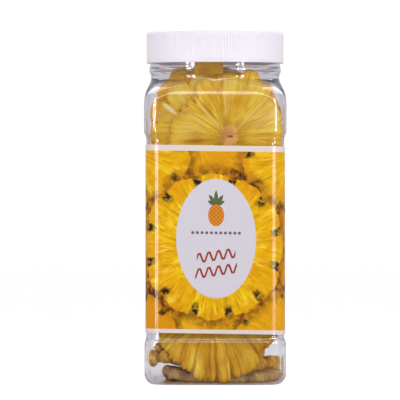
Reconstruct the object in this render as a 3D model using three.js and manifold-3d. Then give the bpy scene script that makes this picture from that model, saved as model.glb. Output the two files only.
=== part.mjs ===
// A clear square jar with a ribbed white screw cap and a wrap label, filled with dried pineapple slices.
// Millimetres, +Z up. The origin is the middle of the base, where the jar stands. The front faces -Y.
import * as THREE from "three";
import { mergeVertices } from "three/addons/utils/BufferGeometryUtils.js";
import Module from "manifold-3d";

const wasm = await Module();
wasm.setup();

// ---- Driving dimensions ----
const TOP_HALF = 44.25; // half the jar's width in the band above the label
const FOOT_HALF = 44.0; // half its width in the band below the label
const PANEL_HALF = 42.85; // half its width in the panel that holds the label
const PANEL = [28.9, 154.0]; // the panel, low and high
const STEP = [2.4, 3.3]; // height of the slope between the panel and the band under it, and over it
const SHOULDER = [171.0, 191.2]; // where the square body starts to turn into the round neck, and ends
const CORNER_R = 10.5; // the body's vertical corners
const NECK_R = 40.15; // the neck below its bead
const FINISH_R = 40.8; // the neck above its bead, under the cap
const BEAD_R = 41.25;
const WALL = 0.95; // the blown wall
const NECK_INSIDE_R = 38.8;
const BASE_TOP = 6.1; // inside height of the pushed-up middle of the base
const LIP_Z = 217.6; // top of the neck
const LABEL = [31.3, 149.5]; // label, low and high
const LABEL_GAP = 0.3;
const LABEL_THICK = 0.3;
const LABEL_SLOPE = -0.0145; // the label was put on slightly out of level: its right side is lower
const CAP_R = 42.95; // over the ribs and the foot band
const CAP = [200.7, 220.5]; // cap, low and high
const CAP_WALL = 1.2;
const RIBS = 150;
const RIB_DEPTH = 0.33;
const SLICE_THICK = 3.0; // a dried slice at its middle
const CLEARANCE = 0.4; // between the slices and the jar

const degrees = (d) => (d * Math.PI) / 180;

// A number from 0 to 1 that depends only on the slice and on what it is for.
const chance = (slice, use) => {
  const s = Math.sin(slice * 12.9898 + use * 78.233) * 43758.5453;
  return s - Math.floor(s);
};
const spread = (slice, use, reach) => (2 * chance(slice, use) - 1) * reach;

// ---- Shells made of rings ----

// A closed surface through rings of equal length, each anticlockwise seen from above. Rings that go up
// are an outside and rings that go down an inside. A ring of one point closes an end with a fan, and a
// looped shell joins its last ring to its first.
function shell(rings, looped = false) {
  const positions = [];
  const starts = rings.map((ring) => {
    const start = positions.length / 3;
    ring.forEach((p) => positions.push(...p));
    return start;
  });
  const index = [];
  const last = looped ? rings.length : rings.length - 1;
  for (let i = 0; i < last; i++) {
    const next = (i + 1) % rings.length;
    const [a, b] = [starts[i], starts[next]];
    const count = Math.max(rings[i].length, rings[next].length);
    for (let j = 0; j < count; j++) {
      const k = (j + 1) % count;
      if (rings[i].length === 1) index.push(a, b + k, b + j);
      else if (rings[next].length === 1) index.push(a + j, a + k, b);
      else index.push(a + j, a + k, b + k, a + j, b + k, b + j);
    }
  }
  const geometry = new THREE.BufferGeometry();
  geometry.setAttribute("position", new THREE.Float32BufferAttribute(positions, 3));
  geometry.setIndex(index);
  return geometry;
}

// A closed mesh as a solid that can be joined and cut, and back.
function solid(geometry) {
  const bare = geometry.clone();
  bare.deleteAttribute("normal");
  bare.deleteAttribute("uv");
  const merged = mergeVertices(bare, 1e-4);
  return new wasm.Manifold(
    new wasm.Mesh({
      numProp: 3,
      vertProperties: merged.attributes.position.array,
      triVerts: new Uint32Array(merged.index.array),
    }),
  );
}

function geometryOf(manifold) {
  const mesh = manifold.getMesh();
  const geometry = new THREE.BufferGeometry();
  geometry.setAttribute("position", new THREE.Float32BufferAttribute(mesh.vertProperties, 3));
  geometry.setIndex([...mesh.triVerts]);
  return geometry;
}

// ---- Jar ----

// The directions, in degrees, in which each quarter of a rounded square is sampled: closest at its corner.
const QUARTER = [0, 12.5, 25, 37.3, 41, 45, 49, 52.7, 65, 77.5];
const DIRECTIONS = [0, 90, 180, 270].flatMap((turn) => QUARTER.map((d) => degrees(turn + d)));

// How far a square of half-width half, with corners of radius corner, reaches in a direction.
function squareReach(angle, half, corner) {
  const [c, s] = [Math.abs(Math.cos(angle)), Math.abs(Math.sin(angle))];
  const flat = half - corner; // where a corner's centre lies, along each side
  if (s * half <= c * flat) return half / c;
  if (c * half <= s * flat) return half / s;
  const along = flat * (c + s);
  return along + Math.sqrt(Math.max(0, along * along - 2 * flat * flat + corner * corner));
}

const squareRing = ([half, corner, z]) =>
  DIRECTIONS.map((angle) => {
    const reach = squareReach(angle, half, Math.min(corner, half));
    return [reach * Math.cos(angle), reach * Math.sin(angle), z];
  });

// The shoulder, at a share of its height: its width falls and its corners grow, each by a smooth step of a
// power of the height, so it starts late and ends fast.
const smooth = (t) => t * t * (3 - 2 * t);
const shoulder = (t) => [
  TOP_HALF - (TOP_HALF - NECK_R) * smooth(t ** 1.9),
  CORNER_R + (NECK_R - CORNER_R) * smooth(t ** 2.3),
  SHOULDER[0] + (SHOULDER[1] - SHOULDER[0]) * t,
];

// A profile's rows give half-width, corner radius and height. This is the outside from base to lip.
const BODY_ROWS = [
  [FOOT_HALF, CORNER_R, 12.5],
  [FOOT_HALF, CORNER_R, PANEL[0] - STEP[0]],
  [PANEL_HALF, CORNER_R, PANEL[0]],
  [PANEL_HALF, CORNER_R, PANEL[1]],
  [TOP_HALF, CORNER_R, PANEL[1] + STEP[1]],
  ...[0.1, 0.35, 0.5, 0.62, 0.73, 0.83, 0.92].map(shoulder),
];
const OUTSIDE = [
  [18.0, 17.0, BASE_TOP - 2.0],
  [26.5, 15.0, 2.4],
  [29.5, 14.0, 0],
  [33.0, 12.0, 0],
  [36.4, 11.0, 1.0],
  [39.8, CORNER_R, 2.6],
  [42.1, CORNER_R, 5.0],
  [43.5, CORNER_R, 8.6],
  ...BODY_ROWS,
  [NECK_R, NECK_R, SHOULDER[1]],
  [NECK_R, NECK_R, 193.2],
  [BEAD_R, BEAD_R, 195.2],
  [BEAD_R, BEAD_R, 197.2],
  [FINISH_R, FINISH_R, 198.6],
  [FINISH_R, FINISH_R, LIP_Z],
];

// The inside from lip to base: the body a wall's thickness further in, then the base's own form.
const inset = ([half, corner, z], by) => [half - by, Math.max(corner - by, 1), z];
const INSIDE = [
  [NECK_INSIDE_R, NECK_INSIDE_R, LIP_Z],
  [NECK_INSIDE_R, NECK_INSIDE_R, SHOULDER[1]],
  ...[...BODY_ROWS].reverse().map((row) => inset(row, WALL)),
  [42.5, CORNER_R - WALL, 9.0],
  [41.2, CORNER_R - WALL, 5.7],
  [39.2, CORNER_R - WALL, 3.6],
  [36.0, 10.2, 2.2],
  [33.0, 11.0, 1.4],
  [29.7, 13.0, 1.5],
  [27.2, 14.5, 3.8],
  [18.0, 16.0, BASE_TOP - 0.5],
];

function jar() {
  const under = [[0, 0, BASE_TOP - 1.6]];
  const over = [[0, 0, BASE_TOP]];
  return shell([under, ...OUTSIDE.map(squareRing), ...INSIDE.map(squareRing), over]);
}

// The room for the slices: all that lies inside the jar, a little clear of its wall. Over the pushed-up
// middle of the base it is only raised, because the wall lies on the other side there.
function room() {
  const rows = INSIDE.map(([half, corner, z]) => {
    const raised = [half, corner, z < 12 ? z + CLEARANCE : z];
    return half < 33.5 ? raised : inset(raised, CLEARANCE);
  });
  return shell([[[0, 0, BASE_TOP + CLEARANCE]], ...rows.reverse().map(squareRing), [[0, 0, LIP_Z]]]);
}

// ---- Label: a thin sleeve round the panel ----

function label() {
  const inner = [PANEL_HALF + LABEL_GAP, CORNER_R + LABEL_GAP];
  const outer = inner.map((size) => size + LABEL_THICK);
  const drop = -LABEL_SLOPE * outer[0]; // what the slope takes at the left and the right
  const [low, high] = [LABEL[0] + drop, LABEL[1] - drop];
  const rows = [
    [...outer, low],
    [...outer, high],
    [...inner, high],
    [...inner, low],
  ];
  const sloped = (ring) => ring.map(([x, y, z]) => [x, y, z + LABEL_SLOPE * x]);
  return shell(rows.map(squareRing).map(sloped), true);
}

// ---- Cap ----

// The plain turned cup: a skirt with a smooth foot band, a rounded shoulder and a shallow dish on top.
function capCup() {
  const [low, high] = CAP;
  const skirt = CAP_R - RIB_DEPTH - 0.1;
  const inner = CAP_R - CAP_WALL;
  const outline = [
    [0, high - 1.9],
    [inner, high - 1.9],
    [inner, low],
    [CAP_R - 0.3, low],
    [CAP_R, low + 0.4],
    [CAP_R, low + 2.3],
    [skirt, low + 2.6],
    [skirt, high - 1.6],
    [42.2, high - 0.6],
    [41.0, high],
    [35.5, high],
    [34.5, high - 0.4],
    [0, high - 0.4],
  ];
  return new THREE.LatheGeometry(
    outline.map(([r, z]) => new THREE.Vector2(r, z)),
    60,
  ).rotateX(degrees(90));
}

// The ring of ribs, with a crest and a valley for each. Its hidden side lies in the cup's wall.
function capRibs() {
  const [low, high] = [CAP[0] + 2.6, CAP[1] - 1.7];
  const ribbed = (z) =>
    Array.from({ length: 2 * RIBS }, (_, i) => {
      const angle = (Math.PI * i) / RIBS;
      const r = CAP_R - (i % 2 ? RIB_DEPTH : 0);
      return [r * Math.cos(angle), r * Math.sin(angle), z];
    });
  const hidden = (z) => ribbed(z).map(([x, y]) => [x * 0.98, y * 0.98, z]);
  return shell([ribbed(low), ribbed(high), hidden(high), hidden(low)], true);
}

const cap = () => geometryOf(solid(capCup()).add(solid(capRibs())));

// ---- Dried slices ----

// Slices of the heap stand on edge, face to the front, one behind the other. x and z are a slice's middle,
// y its place in the row, r its radius, and lean turns its top towards the back about the height pivot.
// relief is how far its tongues bulge, thick its thickness in the middle and at the rim.
const ROW_FRONT = -37.4;
const ROW_PITCH = 6.2;
const ROW_COUNT = 13;
const TOP_PIVOT = 128;

// The upper layer, which the shoulder and the neck press together towards its middle.
const UPPER_HEIGHTS = [154.6, 157, 164, 161.5, 160, 154, 158, 163, 156, 161, 155, 158, 153];
const UPPER_SIDEWAYS = [8.4, -3.6, -4.4, -14, 8];
const UPPER = UPPER_HEIGHTS.map((z, i) => ({
  x: UPPER_SIDEWAYS[i] ?? spread(i, 11, 3),
  y: ROW_FRONT + i * ROW_PITCH,
  z,
  r: 36.4 + 1.6 * chance(i, 12),
  lean: 6.6 * (1 - (2 * i) / (ROW_COUNT - 1)),
  pivot: TOP_PIVOT,
  relief: i === 0 ? 0.16 : 0.4,
}));

// The lower layer: a front slice that reaches down to the base, and the row that stands behind it.
const LOWER = [
  { x: -1.3, y: -35.2, z: 41.8, r: 37, lean: 0.5, pivot: 41.8, relief: 2.1 },
  { x: 2.2, y: -28.6, z: 50, r: 41.5, lean: 0.5, pivot: 50 },
  ...Array.from({ length: ROW_COUNT - 3 }, (_, k) => k + 1).map((i) => ({
    x: spread(i, 13, 4.5),
    y: -28.6 + i * ROW_PITCH,
    z: 55 + 4 * chance(i, 14),
    r: 37.4 + 1.6 * chance(i, 15),
    lean: spread(i, 16, 3),
    pivot: 56,
  })),
];

// The browned slices that lie on the base. The upper one has its left side higher, and the lower one's rim
// hangs down from its middle.
const LYING = [
  { x: 0.4, y: 6.5, z: 13.9, r: 40, tilt: 4.2, thick: [3.4, 8.0], relief: 1.6 },
  { x: 1.6, y: 2.0, z: 8.2, r: 37, tilt: 0.2, bowl: -4.2, thick: [3.0, 7.5], relief: 1.0 },
];

// The rim of a slice is a row of tongues with clefts between them. The slices that show well have each of
// theirs given: its width in degrees, how far it reaches from the middle, and how far the cleft before it
// reaches. The number before the rows is where the first one starts.
const times = (count, row) => Array.from({ length: count }, () => row);
const [FRONT_UPPER, RISEN, BEHIND_LEFT, FRONT_LOWER, LYING_UPPER, LYING_LOWER] = [0, 2, 3, 13, 40, 41];
const TONGUES = {
  [FRONT_UPPER]: [-6, [
    [21, 34, 33], [16, 35.4, 33.5], [13, 38, 35], [13, 41.4, 38.5], [22, 44.4, 40], [21, 40, 38.5],
    [26, 40, 38], [16, 34, 33], [16, 34.8, 33.2], [18, 37, 34.5], [20, 38, 36.2], [26, 37, 35],
    ...times(3, [43, 36, 34]),
  ]],
  [RISEN]: [50, [
    [22, 35.5, 34.5], [34, 40.5, 32.5], [22, 34.5, 31], [26, 37, 35], [28, 37, 35], [28, 36, 34],
    [30, 37, 35], [28, 36, 34], [30, 37, 35], [28, 37, 35], [28, 36, 34], [28, 37, 35], [28, 36, 34],
  ]],
  [FRONT_LOWER]: [-162, [
    [20, 36.6, 35], [16, 36.6, 35.2], [15, 36.8, 35], [16, 39.8, 36.2], [7.3, 40.2, 38.4],
    [14.9, 41.8, 36.6], [7.8, 40.5, 35.8], [24, 41, 39.6], [18, 36, 38.6], [24, 36, 33.5],
    ...times(4, [49.25, 37, 34.5]),
  ]],
  [BEHIND_LEFT]: [95, [
    [22, 37.5, 35], [24, 31, 31], [28, 29, 28], [28, 26.5, 25], [28, 28, 26], ...times(7, [28, 37, 35]),
    [34, 38, 36],
  ]],
  [LYING_UPPER]: [-12, [
    [22, 42, 39], [20, 41, 38], [24, 40, 37], [24, 38, 36], [24, 37, 35], [24, 38, 35], [22, 39, 36],
    [20, 39, 36], [22, 40, 37], [20, 40.5, 35.5], [22, 41, 34.5], [24, 31, 29], [26, 33, 28], [26, 34, 32],
    [24, 36, 33], [16, 39, 35],
  ]],
  [LYING_LOWER]: [-15, [
    ...times(3, [50, 42, 40]), [30, 36, 34], [30, 34, 33], [22, 37, 35], [20, 42, 36], [36, 34, 33],
    [30, 35, 33], [22, 42, 35], [20, 44, 41],
  ]],
};
const LIFTS = { [LYING_UPPER]: [0.6, -0.8, 1, 0, -1, 0.5, 0, 1, -1.6, 4.4, 1.4, 2, 1, 0, -1, 1] };
const DRAWN_TONGUES = 13;

// The points of a slice's rim: for each its angle, its radius and how far its tongue bulges there. A tongue
// that is given has two points besides the cleft before it, and one that is drawn by chance has one.
function rimPoints(n, r, relief) {
  const [start, rows] = TONGUES[n] ?? [
    (spread(n, 3, Math.PI / DRAWN_TONGUES) * 180) / Math.PI,
    Array.from({ length: DRAWN_TONGUES }, (_, k) => {
      const reach = r * (1 + spread(n, 60 + k, 0.03));
      return [1 + spread(n, 40 + k, 0.33), reach, reach - 1.1 - 2.2 * chance(n, 80 + k)];
    }),
  ];
  const whole = rows.reduce((sum, [width]) => sum + width, 0);
  const clefts = rows.map(([, reach, cleft], k) => Math.min(cleft, reach - 0.2, rows.at(k - 1)[1] - 0.2));
  const places = n in TONGUES ? [0, 0.22, 0.78] : [0, 0.5];
  let turned = degrees(start);
  return rows.flatMap(([width, reach], k) => {
    const angle = turned;
    turned += (2 * Math.PI * width) / whole;
    const bulge = LIFTS[n]?.[k] ?? spread(n, 200 + k, relief);
    return places.map((place) => {
      const lies = 2 * place - 1;
      const low = clefts[k] * (1 - place) + clefts[(k + 1) % rows.length] * place;
      return {
        angle: angle + (2 * Math.PI * width * place) / whole,
        radius: low + (reach - low) * (1 - lies ** 4),
        bulge: 0.8 * bulge * (1 - lies * lies),
      };
    });
  });
}

// How far a slice has curled from flat: a shallow bowl, a saddle, and a ruffle that grows to the rim.
function curl(share, angle, n, bowl) {
  const saddle = 0.7 * Math.cos(2 * angle + 2 * Math.PI * chance(n, 5));
  const ruffle = 0.8 * Math.cos(5 * angle + 2 * Math.PI * chance(n, 6));
  return (spread(n, 4, 0.5) + bowl + saddle) * share ** 2 + ruffle * share ** 3;
}

// One slice in its own plane: X to the right, Y up, Z out of its front face. Its face's rings lie at shares
// of the way from its middle to its rim.
function slice(n, { r, relief = 1, bowl = 0, thick = [1.05 * SLICE_THICK, 0.75 * SLICE_THICK] }) {
  const shares = [FRONT_UPPER, FRONT_LOWER, LYING_UPPER, LYING_LOWER].includes(n) ? [0.65, 1] : [1];
  const rim = rimPoints(n, r, relief);
  const ring = (share, side) =>
    rim.map(({ angle, radius, bulge }) => {
      const body = thick[0] + (thick[1] - thick[0]) * share * share;
      const out = curl(share, angle, n, bowl) + bulge * share ** 3 + (side * body) / 2;
      return [share * radius * Math.cos(angle), share * radius * Math.sin(angle), out];
    });
  const middle = (side) => [[0, 0, (side * thick[0]) / 2]];
  return shell([
    middle(-1),
    ...shares.map((share) => ring(share, -1)),
    ...[...shares].reverse().map((share) => ring(share, 1)),
    middle(1),
  ]);
}

const standing = (n, place) =>
  slice(n, place)
    .rotateX(degrees(90))
    .translate(place.x, 0, place.z - place.pivot)
    .rotateX(degrees(-place.lean))
    .translate(0, place.y, place.pivot);

const lying = (n, place) =>
  slice(n, place).rotateY(degrees(place.tilt)).translate(place.x, place.y, place.z);

// The packed middle of the heap, behind the label: half its width, half its depth and height.
const HEAP_CORE = [
  [16, 26, 13],
  [24, 32, 30],
  [27, 36, 50],
  [27, 36, 124],
  [24, 31, 148],
  [13, 20, 168],
];

function heapCore() {
  const [bottom, top] = [HEAP_CORE[0], HEAP_CORE[HEAP_CORE.length - 1]];
  const ring = ([a, b, z]) => {
    const cut = 0.35 * a; // the bevel of each upright edge
    const front = [
      [a, cut - b],
      [a, b - cut],
      [a - cut, b],
      [cut - a, b],
    ];
    return [...front, ...front.map(([x, y]) => [-x, -y])].map(([x, y]) => [x, y, z]);
  };
  return shell([[[0, 0, bottom[2]]], ...HEAP_CORE.map(ring), [[0, 0, top[2]]]]);
}

function slices() {
  const pieces = [...UPPER, ...LOWER].map((place, n) => standing(n, place));
  pieces.push(...LYING.map((place, i) => lying(LYING_UPPER + i, place)));
  const heap = wasm.Manifold.union([solid(heapCore()), ...pieces.map(solid)]);
  // Only the largest body stays, so that a loose scrap goes and a sealed gap is filled.
  const bodies = heap.intersect(solid(room())).decompose();
  return geometryOf(bodies.reduce((a, b) => (b.volume() > a.volume() ? b : a)));
}

// ---- The group ----

const clear = new THREE.MeshStandardMaterial({
  color: 0xdfdde4,
  roughness: 0.05,
  metalness: 0,
  transparent: true,
  opacity: 0.3,
});
const white = new THREE.MeshStandardMaterial({ color: 0xf2eef5, roughness: 0.4, metalness: 0 });
const printed = new THREE.MeshStandardMaterial({ color: 0xe0a820, roughness: 0.3, metalness: 0 });
const dried = new THREE.MeshStandardMaterial({ color: 0xd6ae45, roughness: 0.6, metalness: 0 });

const group = new THREE.Group();
function add(name, geometry, material) {
  const mesh = new THREE.Mesh(geometry, material);
  mesh.name = name;
  group.add(mesh);
}

add("jar", jar(), clear);
add("label", label(), printed);
add("cap", cap(), white);
add("slices", slices(), dried);

export default group;
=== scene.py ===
# %% [markdown]
# # A jar of dried pineapple slices
# A clear plastic jar, nearly square, with a ribbed white screw cap. A printed label is wrapped round its
# middle, and dried slices of pineapple stand on edge inside, so that they show above and below the label.
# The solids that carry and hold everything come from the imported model. This lesson makes their fine
# surfaces: every shape is a formula worked out on whole arrays, and every finish is a small set of nodes.

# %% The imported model
import math
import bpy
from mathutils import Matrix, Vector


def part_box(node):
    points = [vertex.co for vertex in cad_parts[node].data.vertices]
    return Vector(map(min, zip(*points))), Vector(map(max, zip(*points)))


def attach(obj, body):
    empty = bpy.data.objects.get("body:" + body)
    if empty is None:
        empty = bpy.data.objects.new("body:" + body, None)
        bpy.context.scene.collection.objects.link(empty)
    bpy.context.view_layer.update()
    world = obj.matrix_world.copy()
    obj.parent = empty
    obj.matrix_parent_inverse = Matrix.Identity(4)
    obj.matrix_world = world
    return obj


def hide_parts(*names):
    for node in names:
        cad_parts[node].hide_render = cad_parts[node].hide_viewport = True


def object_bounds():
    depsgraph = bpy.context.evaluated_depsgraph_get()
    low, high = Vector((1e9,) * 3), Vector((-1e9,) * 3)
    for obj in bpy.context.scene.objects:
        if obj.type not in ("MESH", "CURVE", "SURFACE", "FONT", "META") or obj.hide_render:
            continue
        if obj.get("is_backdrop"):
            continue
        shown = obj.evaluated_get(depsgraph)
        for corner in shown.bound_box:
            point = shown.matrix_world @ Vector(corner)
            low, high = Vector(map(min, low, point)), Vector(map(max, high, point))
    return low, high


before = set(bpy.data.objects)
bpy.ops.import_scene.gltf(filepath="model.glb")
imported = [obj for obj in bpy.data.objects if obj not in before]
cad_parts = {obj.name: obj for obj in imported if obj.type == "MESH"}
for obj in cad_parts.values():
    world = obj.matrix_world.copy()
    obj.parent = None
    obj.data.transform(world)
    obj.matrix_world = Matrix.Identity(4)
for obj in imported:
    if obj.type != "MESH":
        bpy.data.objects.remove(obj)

from types import SimpleNamespace

import bpy
import numpy as np

cad_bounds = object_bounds()
MM = 0.001  # shapes are worked out in millimetres, and Blender's unit is the metre
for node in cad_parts:
    low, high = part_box(node)
    print(node, "from", [round(v / MM, 1) for v in low], "to", [round(v / MM, 1) for v in high])

# %% [markdown]
# ## From arrays to meshes
# Nearly every piece here is a stack of rings. A ring is a row of a grid, and the squares between two
# rings are faces. Blender's own primitives could be stretched into some of these shapes, but a grid keeps
# full control over where the points lie, so that they can be close together only where the form turns.


# %% Rings of points, and the faces between them
def place_round(reach, direction, height):
    """Points at a reach from the upright axis, in a direction, at a height: arrays that fit each other."""
    x, y = reach * np.cos(direction), reach * np.sin(direction)
    return np.stack(np.broadcast_arrays(x, y, height), axis=-1)


def grid_faces(rows, columns, looped=False):
    """The squares between neighbouring points of a grid of rings: the last point of a ring joins its first.
    A looped grid also joins its last ring to its first."""
    row = np.arange(rows if looped else rows - 1)[:, None]
    column = np.arange(columns)[None, :]
    above, beside = (row + 1) % rows, (column + 1) % columns
    corners = [r * columns + c for r, c in ((row, column), (row, beside), (above, beside), (above, column))]
    return np.stack(np.broadcast_arrays(*corners), axis=-1).reshape(-1, 4)


def end_fans(rows, columns):
    """The triangles that close both ends of a stack of rings. The two middle points follow the rings."""
    j = np.arange(columns)
    k = (j + 1) % columns
    first, last = rows * columns, rows * columns + 1
    top = (rows - 1) * columns
    return np.concatenate([
        np.stack([np.full(columns, first), k, j], axis=-1),
        np.stack([top + j, top + k, np.full(columns, last)], axis=-1),
    ])


# %% An array of points becomes a piece
def add_piece(name, points, faces, replaces):
    """Makes a mesh object from points in millimetres and a list of face arrays, and puts it in the frame."""
    mesh = bpy.data.meshes.new(name)
    corners = np.concatenate([face.ravel() for face in faces]).astype(np.int32)
    sizes = np.concatenate([np.full(len(face), face.shape[1]) for face in faces])
    mesh.vertices.add(len(points))
    mesh.vertices.foreach_set("co", (points * MM).astype(np.float32).ravel())
    mesh.loops.add(len(corners))
    mesh.loops.foreach_set("vertex_index", corners)
    mesh.polygons.add(len(sizes))
    mesh.polygons.foreach_set("loop_start", (np.cumsum(sizes) - sizes).astype(np.int32))
    mesh.update(calc_edges=True)
    mesh.shade_smooth()
    piece = bpy.data.objects.new(name, mesh)
    bpy.context.scene.collection.objects.link(piece)
    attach(piece, "root")
    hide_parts(replaces)
    print(name, "has", len(points), "points and", int((sizes - 2).sum()), "triangles")
    return piece


def set_map(piece, name, values):
    """Gives a piece a UV map: one pair of values for each corner of each face."""
    layer = piece.data.uv_layers.new(name=name)
    layer.data.foreach_set("uv", values.astype(np.float32).ravel())


def corner_points(piece):
    """The number of the point at each corner of each face."""
    numbers = np.empty(len(piece.data.loops), dtype=np.int32)
    piece.data.loops.foreach_get("vertex_index", numbers)
    return numbers


# %% [markdown]
# ## Finishes as sums
# A finish is a tree of shader nodes. Written node by node, even a simple pattern takes a page. Here one
# small class wraps a node's output, so that `1 - mask * 0.5` adds the Math nodes by itself, and one method
# adds any other kind of node.


# %% Nodes that can be added and multiplied
class Value:
    """A node's output that takes part in sums."""

    def __init__(self, finish, socket):
        self.finish, self.socket = finish, socket

    def maths(self, operation, *others):
        return self.finish.node("Math", {"operation": operation}, self, *others)

    def flipped(self, operation, first):
        return self.finish.node("Math", {"operation": operation}, first, self)

    def output(self, name):
        return Value(self.finish, self.socket.node.outputs[name])

    def __add__(self, other):
        return self.maths("ADD", other)

    def __sub__(self, other):
        return self.maths("SUBTRACT", other)

    def __rsub__(self, other):
        return self.flipped("SUBTRACT", other)

    def __mul__(self, other):
        return self.maths("MULTIPLY", other)

    def __truediv__(self, other):
        return self.maths("DIVIDE", other)

    def __rtruediv__(self, other):
        return self.flipped("DIVIDE", other)

    def __pow__(self, other):
        return self * self if other == 2 else self.maths("POWER", other)

    def __abs__(self):
        return self.maths("ABSOLUTE")

    __radd__, __rmul__ = __add__, __mul__


class Finish:
    """A material whose nodes are made by calls."""

    def __init__(self, name, tree=None):
        if tree is None:
            self.material = bpy.data.materials.new(name)
            self.material.use_nodes = True
            tree = self.material.node_tree
        self.tree = tree
        self.tree.nodes.clear()

    def node(self, kind, settings=None, *values, **named):
        """Adds a node: its settings first, then the values or links of its sockets by place or by name."""
        made = self.tree.nodes.new("ShaderNode" + kind)
        for key, setting in (settings or {}).items():
            setattr(made, key, setting)
        fed = list(zip(made.inputs, values))
        fed += [(self.find_input(made, key), value) for key, value in named.items()]
        for socket, value in fed:
            if isinstance(value, Value):
                self.tree.links.new(value.socket, socket)
            else:
                socket.default_value = value
        shown = [socket for socket in made.outputs if socket.enabled]
        return Value(self, shown[0] if shown else None)

    @staticmethod
    def find_input(made, key):
        for socket in made.inputs:
            if socket.enabled and key in (socket.identifier, socket.name.replace(" ", "_")):
                return socket
        raise KeyError(f"{made.bl_idname} has no input {key}")

    def mix(self, factor, a, b):
        """A colour between a and b."""
        given = [(*c, 1.0) if isinstance(c, tuple) else c for c in (a, b)]
        settings = {"data_type": "RGBA", "clamp_factor": True}
        return self.node("Mix", settings, Factor_Float=factor, A_Color=given[0], B_Color=given[1])

    def coats(self, colour, *layers):
        """A colour with others laid over it in turn: how much each covers, and its colour."""
        for cover, layer in layers:
            colour = self.mix(cover, colour, layer)
        return colour

    def mix_vectors(self, factor, a, b):
        return self.node("Mix", {"data_type": "VECTOR"}, factor, A_Vector=a, B_Vector=b)

    def noise(self, vector, scale, detail=2.0, roughness=0.5):
        """Smooth cloudy variation about 0.5."""
        return self.node("TexNoise", {}, Vector=vector, Scale=scale, Detail=detail, Roughness=roughness)

    def step(self, value, start, end):
        """Rises smoothly from 0 to 1 as a value goes from start to end."""
        settings = {"interpolation_type": "SMOOTHSTEP"}
        return self.node("MapRange", settings, Value=value, From_Min=start, From_Max=end)

    def band(self, value, middle, outer, inner):
        """1 where a value is within inner of the middle, falling to 0 where it is outer away."""
        return self.step(abs(value - middle), outer, inner)

    def combine(self, x, y, z):
        return self.node("CombineXYZ", {}, x, y, z)

    def split(self, vector):
        """The three numbers of a vector."""
        parts = self.node("SeparateXYZ", {}, vector)
        return parts.output("X"), parts.output("Y"), parts.output("Z")

    def length(self, vector):
        return self.node("VectorMath", {"operation": "LENGTH"}, vector).output("Value")

    def direction(self, vector):
        """The cosine and the sine of the way that a flat vector points."""
        return self.split(self.node("VectorMath", {"operation": "NORMALIZE"}, vector))[:2]

    def object_place(self):
        """Where a point of the piece lies, in metres from the middle of the jar's base."""
        return self.node("TexCoord").output("Object")

    def plastic(self, colour, roughness, **named):
        """Blender's general shader, for every piece that light doesn't pass through."""
        return self.node("BsdfPrincipled", {}, Base_Color=colour, Roughness=roughness, **named)

    def surface(self, shader, piece):
        """Ends the tree in a shader and gives the finish to a piece."""
        self.node("OutputMaterial", {}, Surface=shader)
        piece.data.materials.append(self.material)
        print(piece.name, "is finished with", len(self.tree.nodes), "nodes")


# %% [markdown]
# ## Camera, floor and light
# The jar is seen straight from the front and from far away, so that its sides stay upright. Two narrow tall
# softboxes on each side of the camera draw the long streaks down the jar's corners, and a long low one
# above it and a wide one behind light the shoulder. The rest are wide and aren't mirrored at all: they only
# light the cap, the label and the fruit. The floor is plain and nearly white.

# %% The camera
FRAME_WIDTH = 251 * MM  # how much of the jar's own plane the picture spans
CAMERA_AWAY = 4.0
CAMERA_X, CAMERA_Z = -9.5 * MM, 115.0 * MM

camera_data = bpy.data.cameras.new("camera")
camera_data.sensor_width = 36.0
camera_data.lens = camera_data.sensor_width * CAMERA_AWAY / FRAME_WIDTH
camera_data.clip_end = 50.0
camera = bpy.data.objects.new("camera", camera_data)
camera.location = (CAMERA_X, -CAMERA_AWAY, CAMERA_Z)
camera.rotation_euler = (math.radians(90), 0, 0)
bpy.context.scene.collection.objects.link(camera)
bpy.context.scene.camera = camera
print("lens", round(camera_data.lens), "mm")


# %% The lights
def softbox(name, place, target, size, power, shows=("diffuse", "glossy", "transmission")):
    """A rectangular light of a width and height, at a place and turned to a target, in metres and watts.
    It is seen by the kinds of rays in shows."""
    data = bpy.data.lights.new(name, "AREA")
    data.shape, (data.size, data.size_y) = "RECTANGLE", size
    data.energy = power
    light = bpy.data.objects.new(name, data)
    x, y, z = np.subtract(target, place)
    light.location = place
    light.rotation_euler = (math.atan2(math.hypot(x, y), -z), 0, math.atan2(-x, y))
    light.visible_camera = False
    for kind in ("diffuse", "glossy", "transmission"):
        setattr(light, "visible_" + kind, kind in shows)
    bpy.context.scene.collection.objects.link(light)
    print(name, "at", place)


MIDDLE_Z = 0.11
STREAK_AWAY, STREAK_Z, STREAK_AZIMUTHS = 1.3, 0.35, (38, 49)  # of the narrow tall softboxes
BAR_ELEVATION, BAR_AWAY = math.radians(33), 1.4  # of the long low one

jar_middle, shiny = (0, 0, MIDDLE_Z), ("glossy", "transmission")
for name, side, power in (("left", -1, 30), ("right", 1, 24)):
    for azimuth in STREAK_AZIMUTHS:
        x = side * STREAK_AWAY * math.sin(math.radians(azimuth))
        y = -STREAK_AWAY * math.cos(math.radians(azimuth))
        softbox(f"{name}_softbox_{azimuth}", (x, y, STREAK_Z), (0, 0, STREAK_Z), (0.08, 1.3), power, shiny)
bar_y, bar_z = -BAR_AWAY * math.cos(BAR_ELEVATION), MIDDLE_Z + BAR_AWAY * math.sin(BAR_ELEVATION)
softbox("bar_softbox", (0, bar_y, bar_z), jar_middle, (1.7, 0.24), 15, shiny)
softbox("key_softbox", (-0.12, -1.2, 0.9), jar_middle, (1.0, 0.8), 4.6, ("diffuse",))
softbox("front_softbox", (0, -1.5, 0.14), jar_middle, (1.4, 0.26), 4.0, ("diffuse",))
softbox("left_fill", (-1.3, -0.35, 0.45), jar_middle, (0.9, 1.2), 3.4, ("diffuse",))
softbox("right_fill", (1.3, -0.35, 0.45), jar_middle, (0.9, 1.2), 6.0, ("diffuse",))
softbox("back_softbox", (0, 1.2, 0.9), jar_middle, (1.6, 0.8), 10, ("diffuse",))
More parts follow.
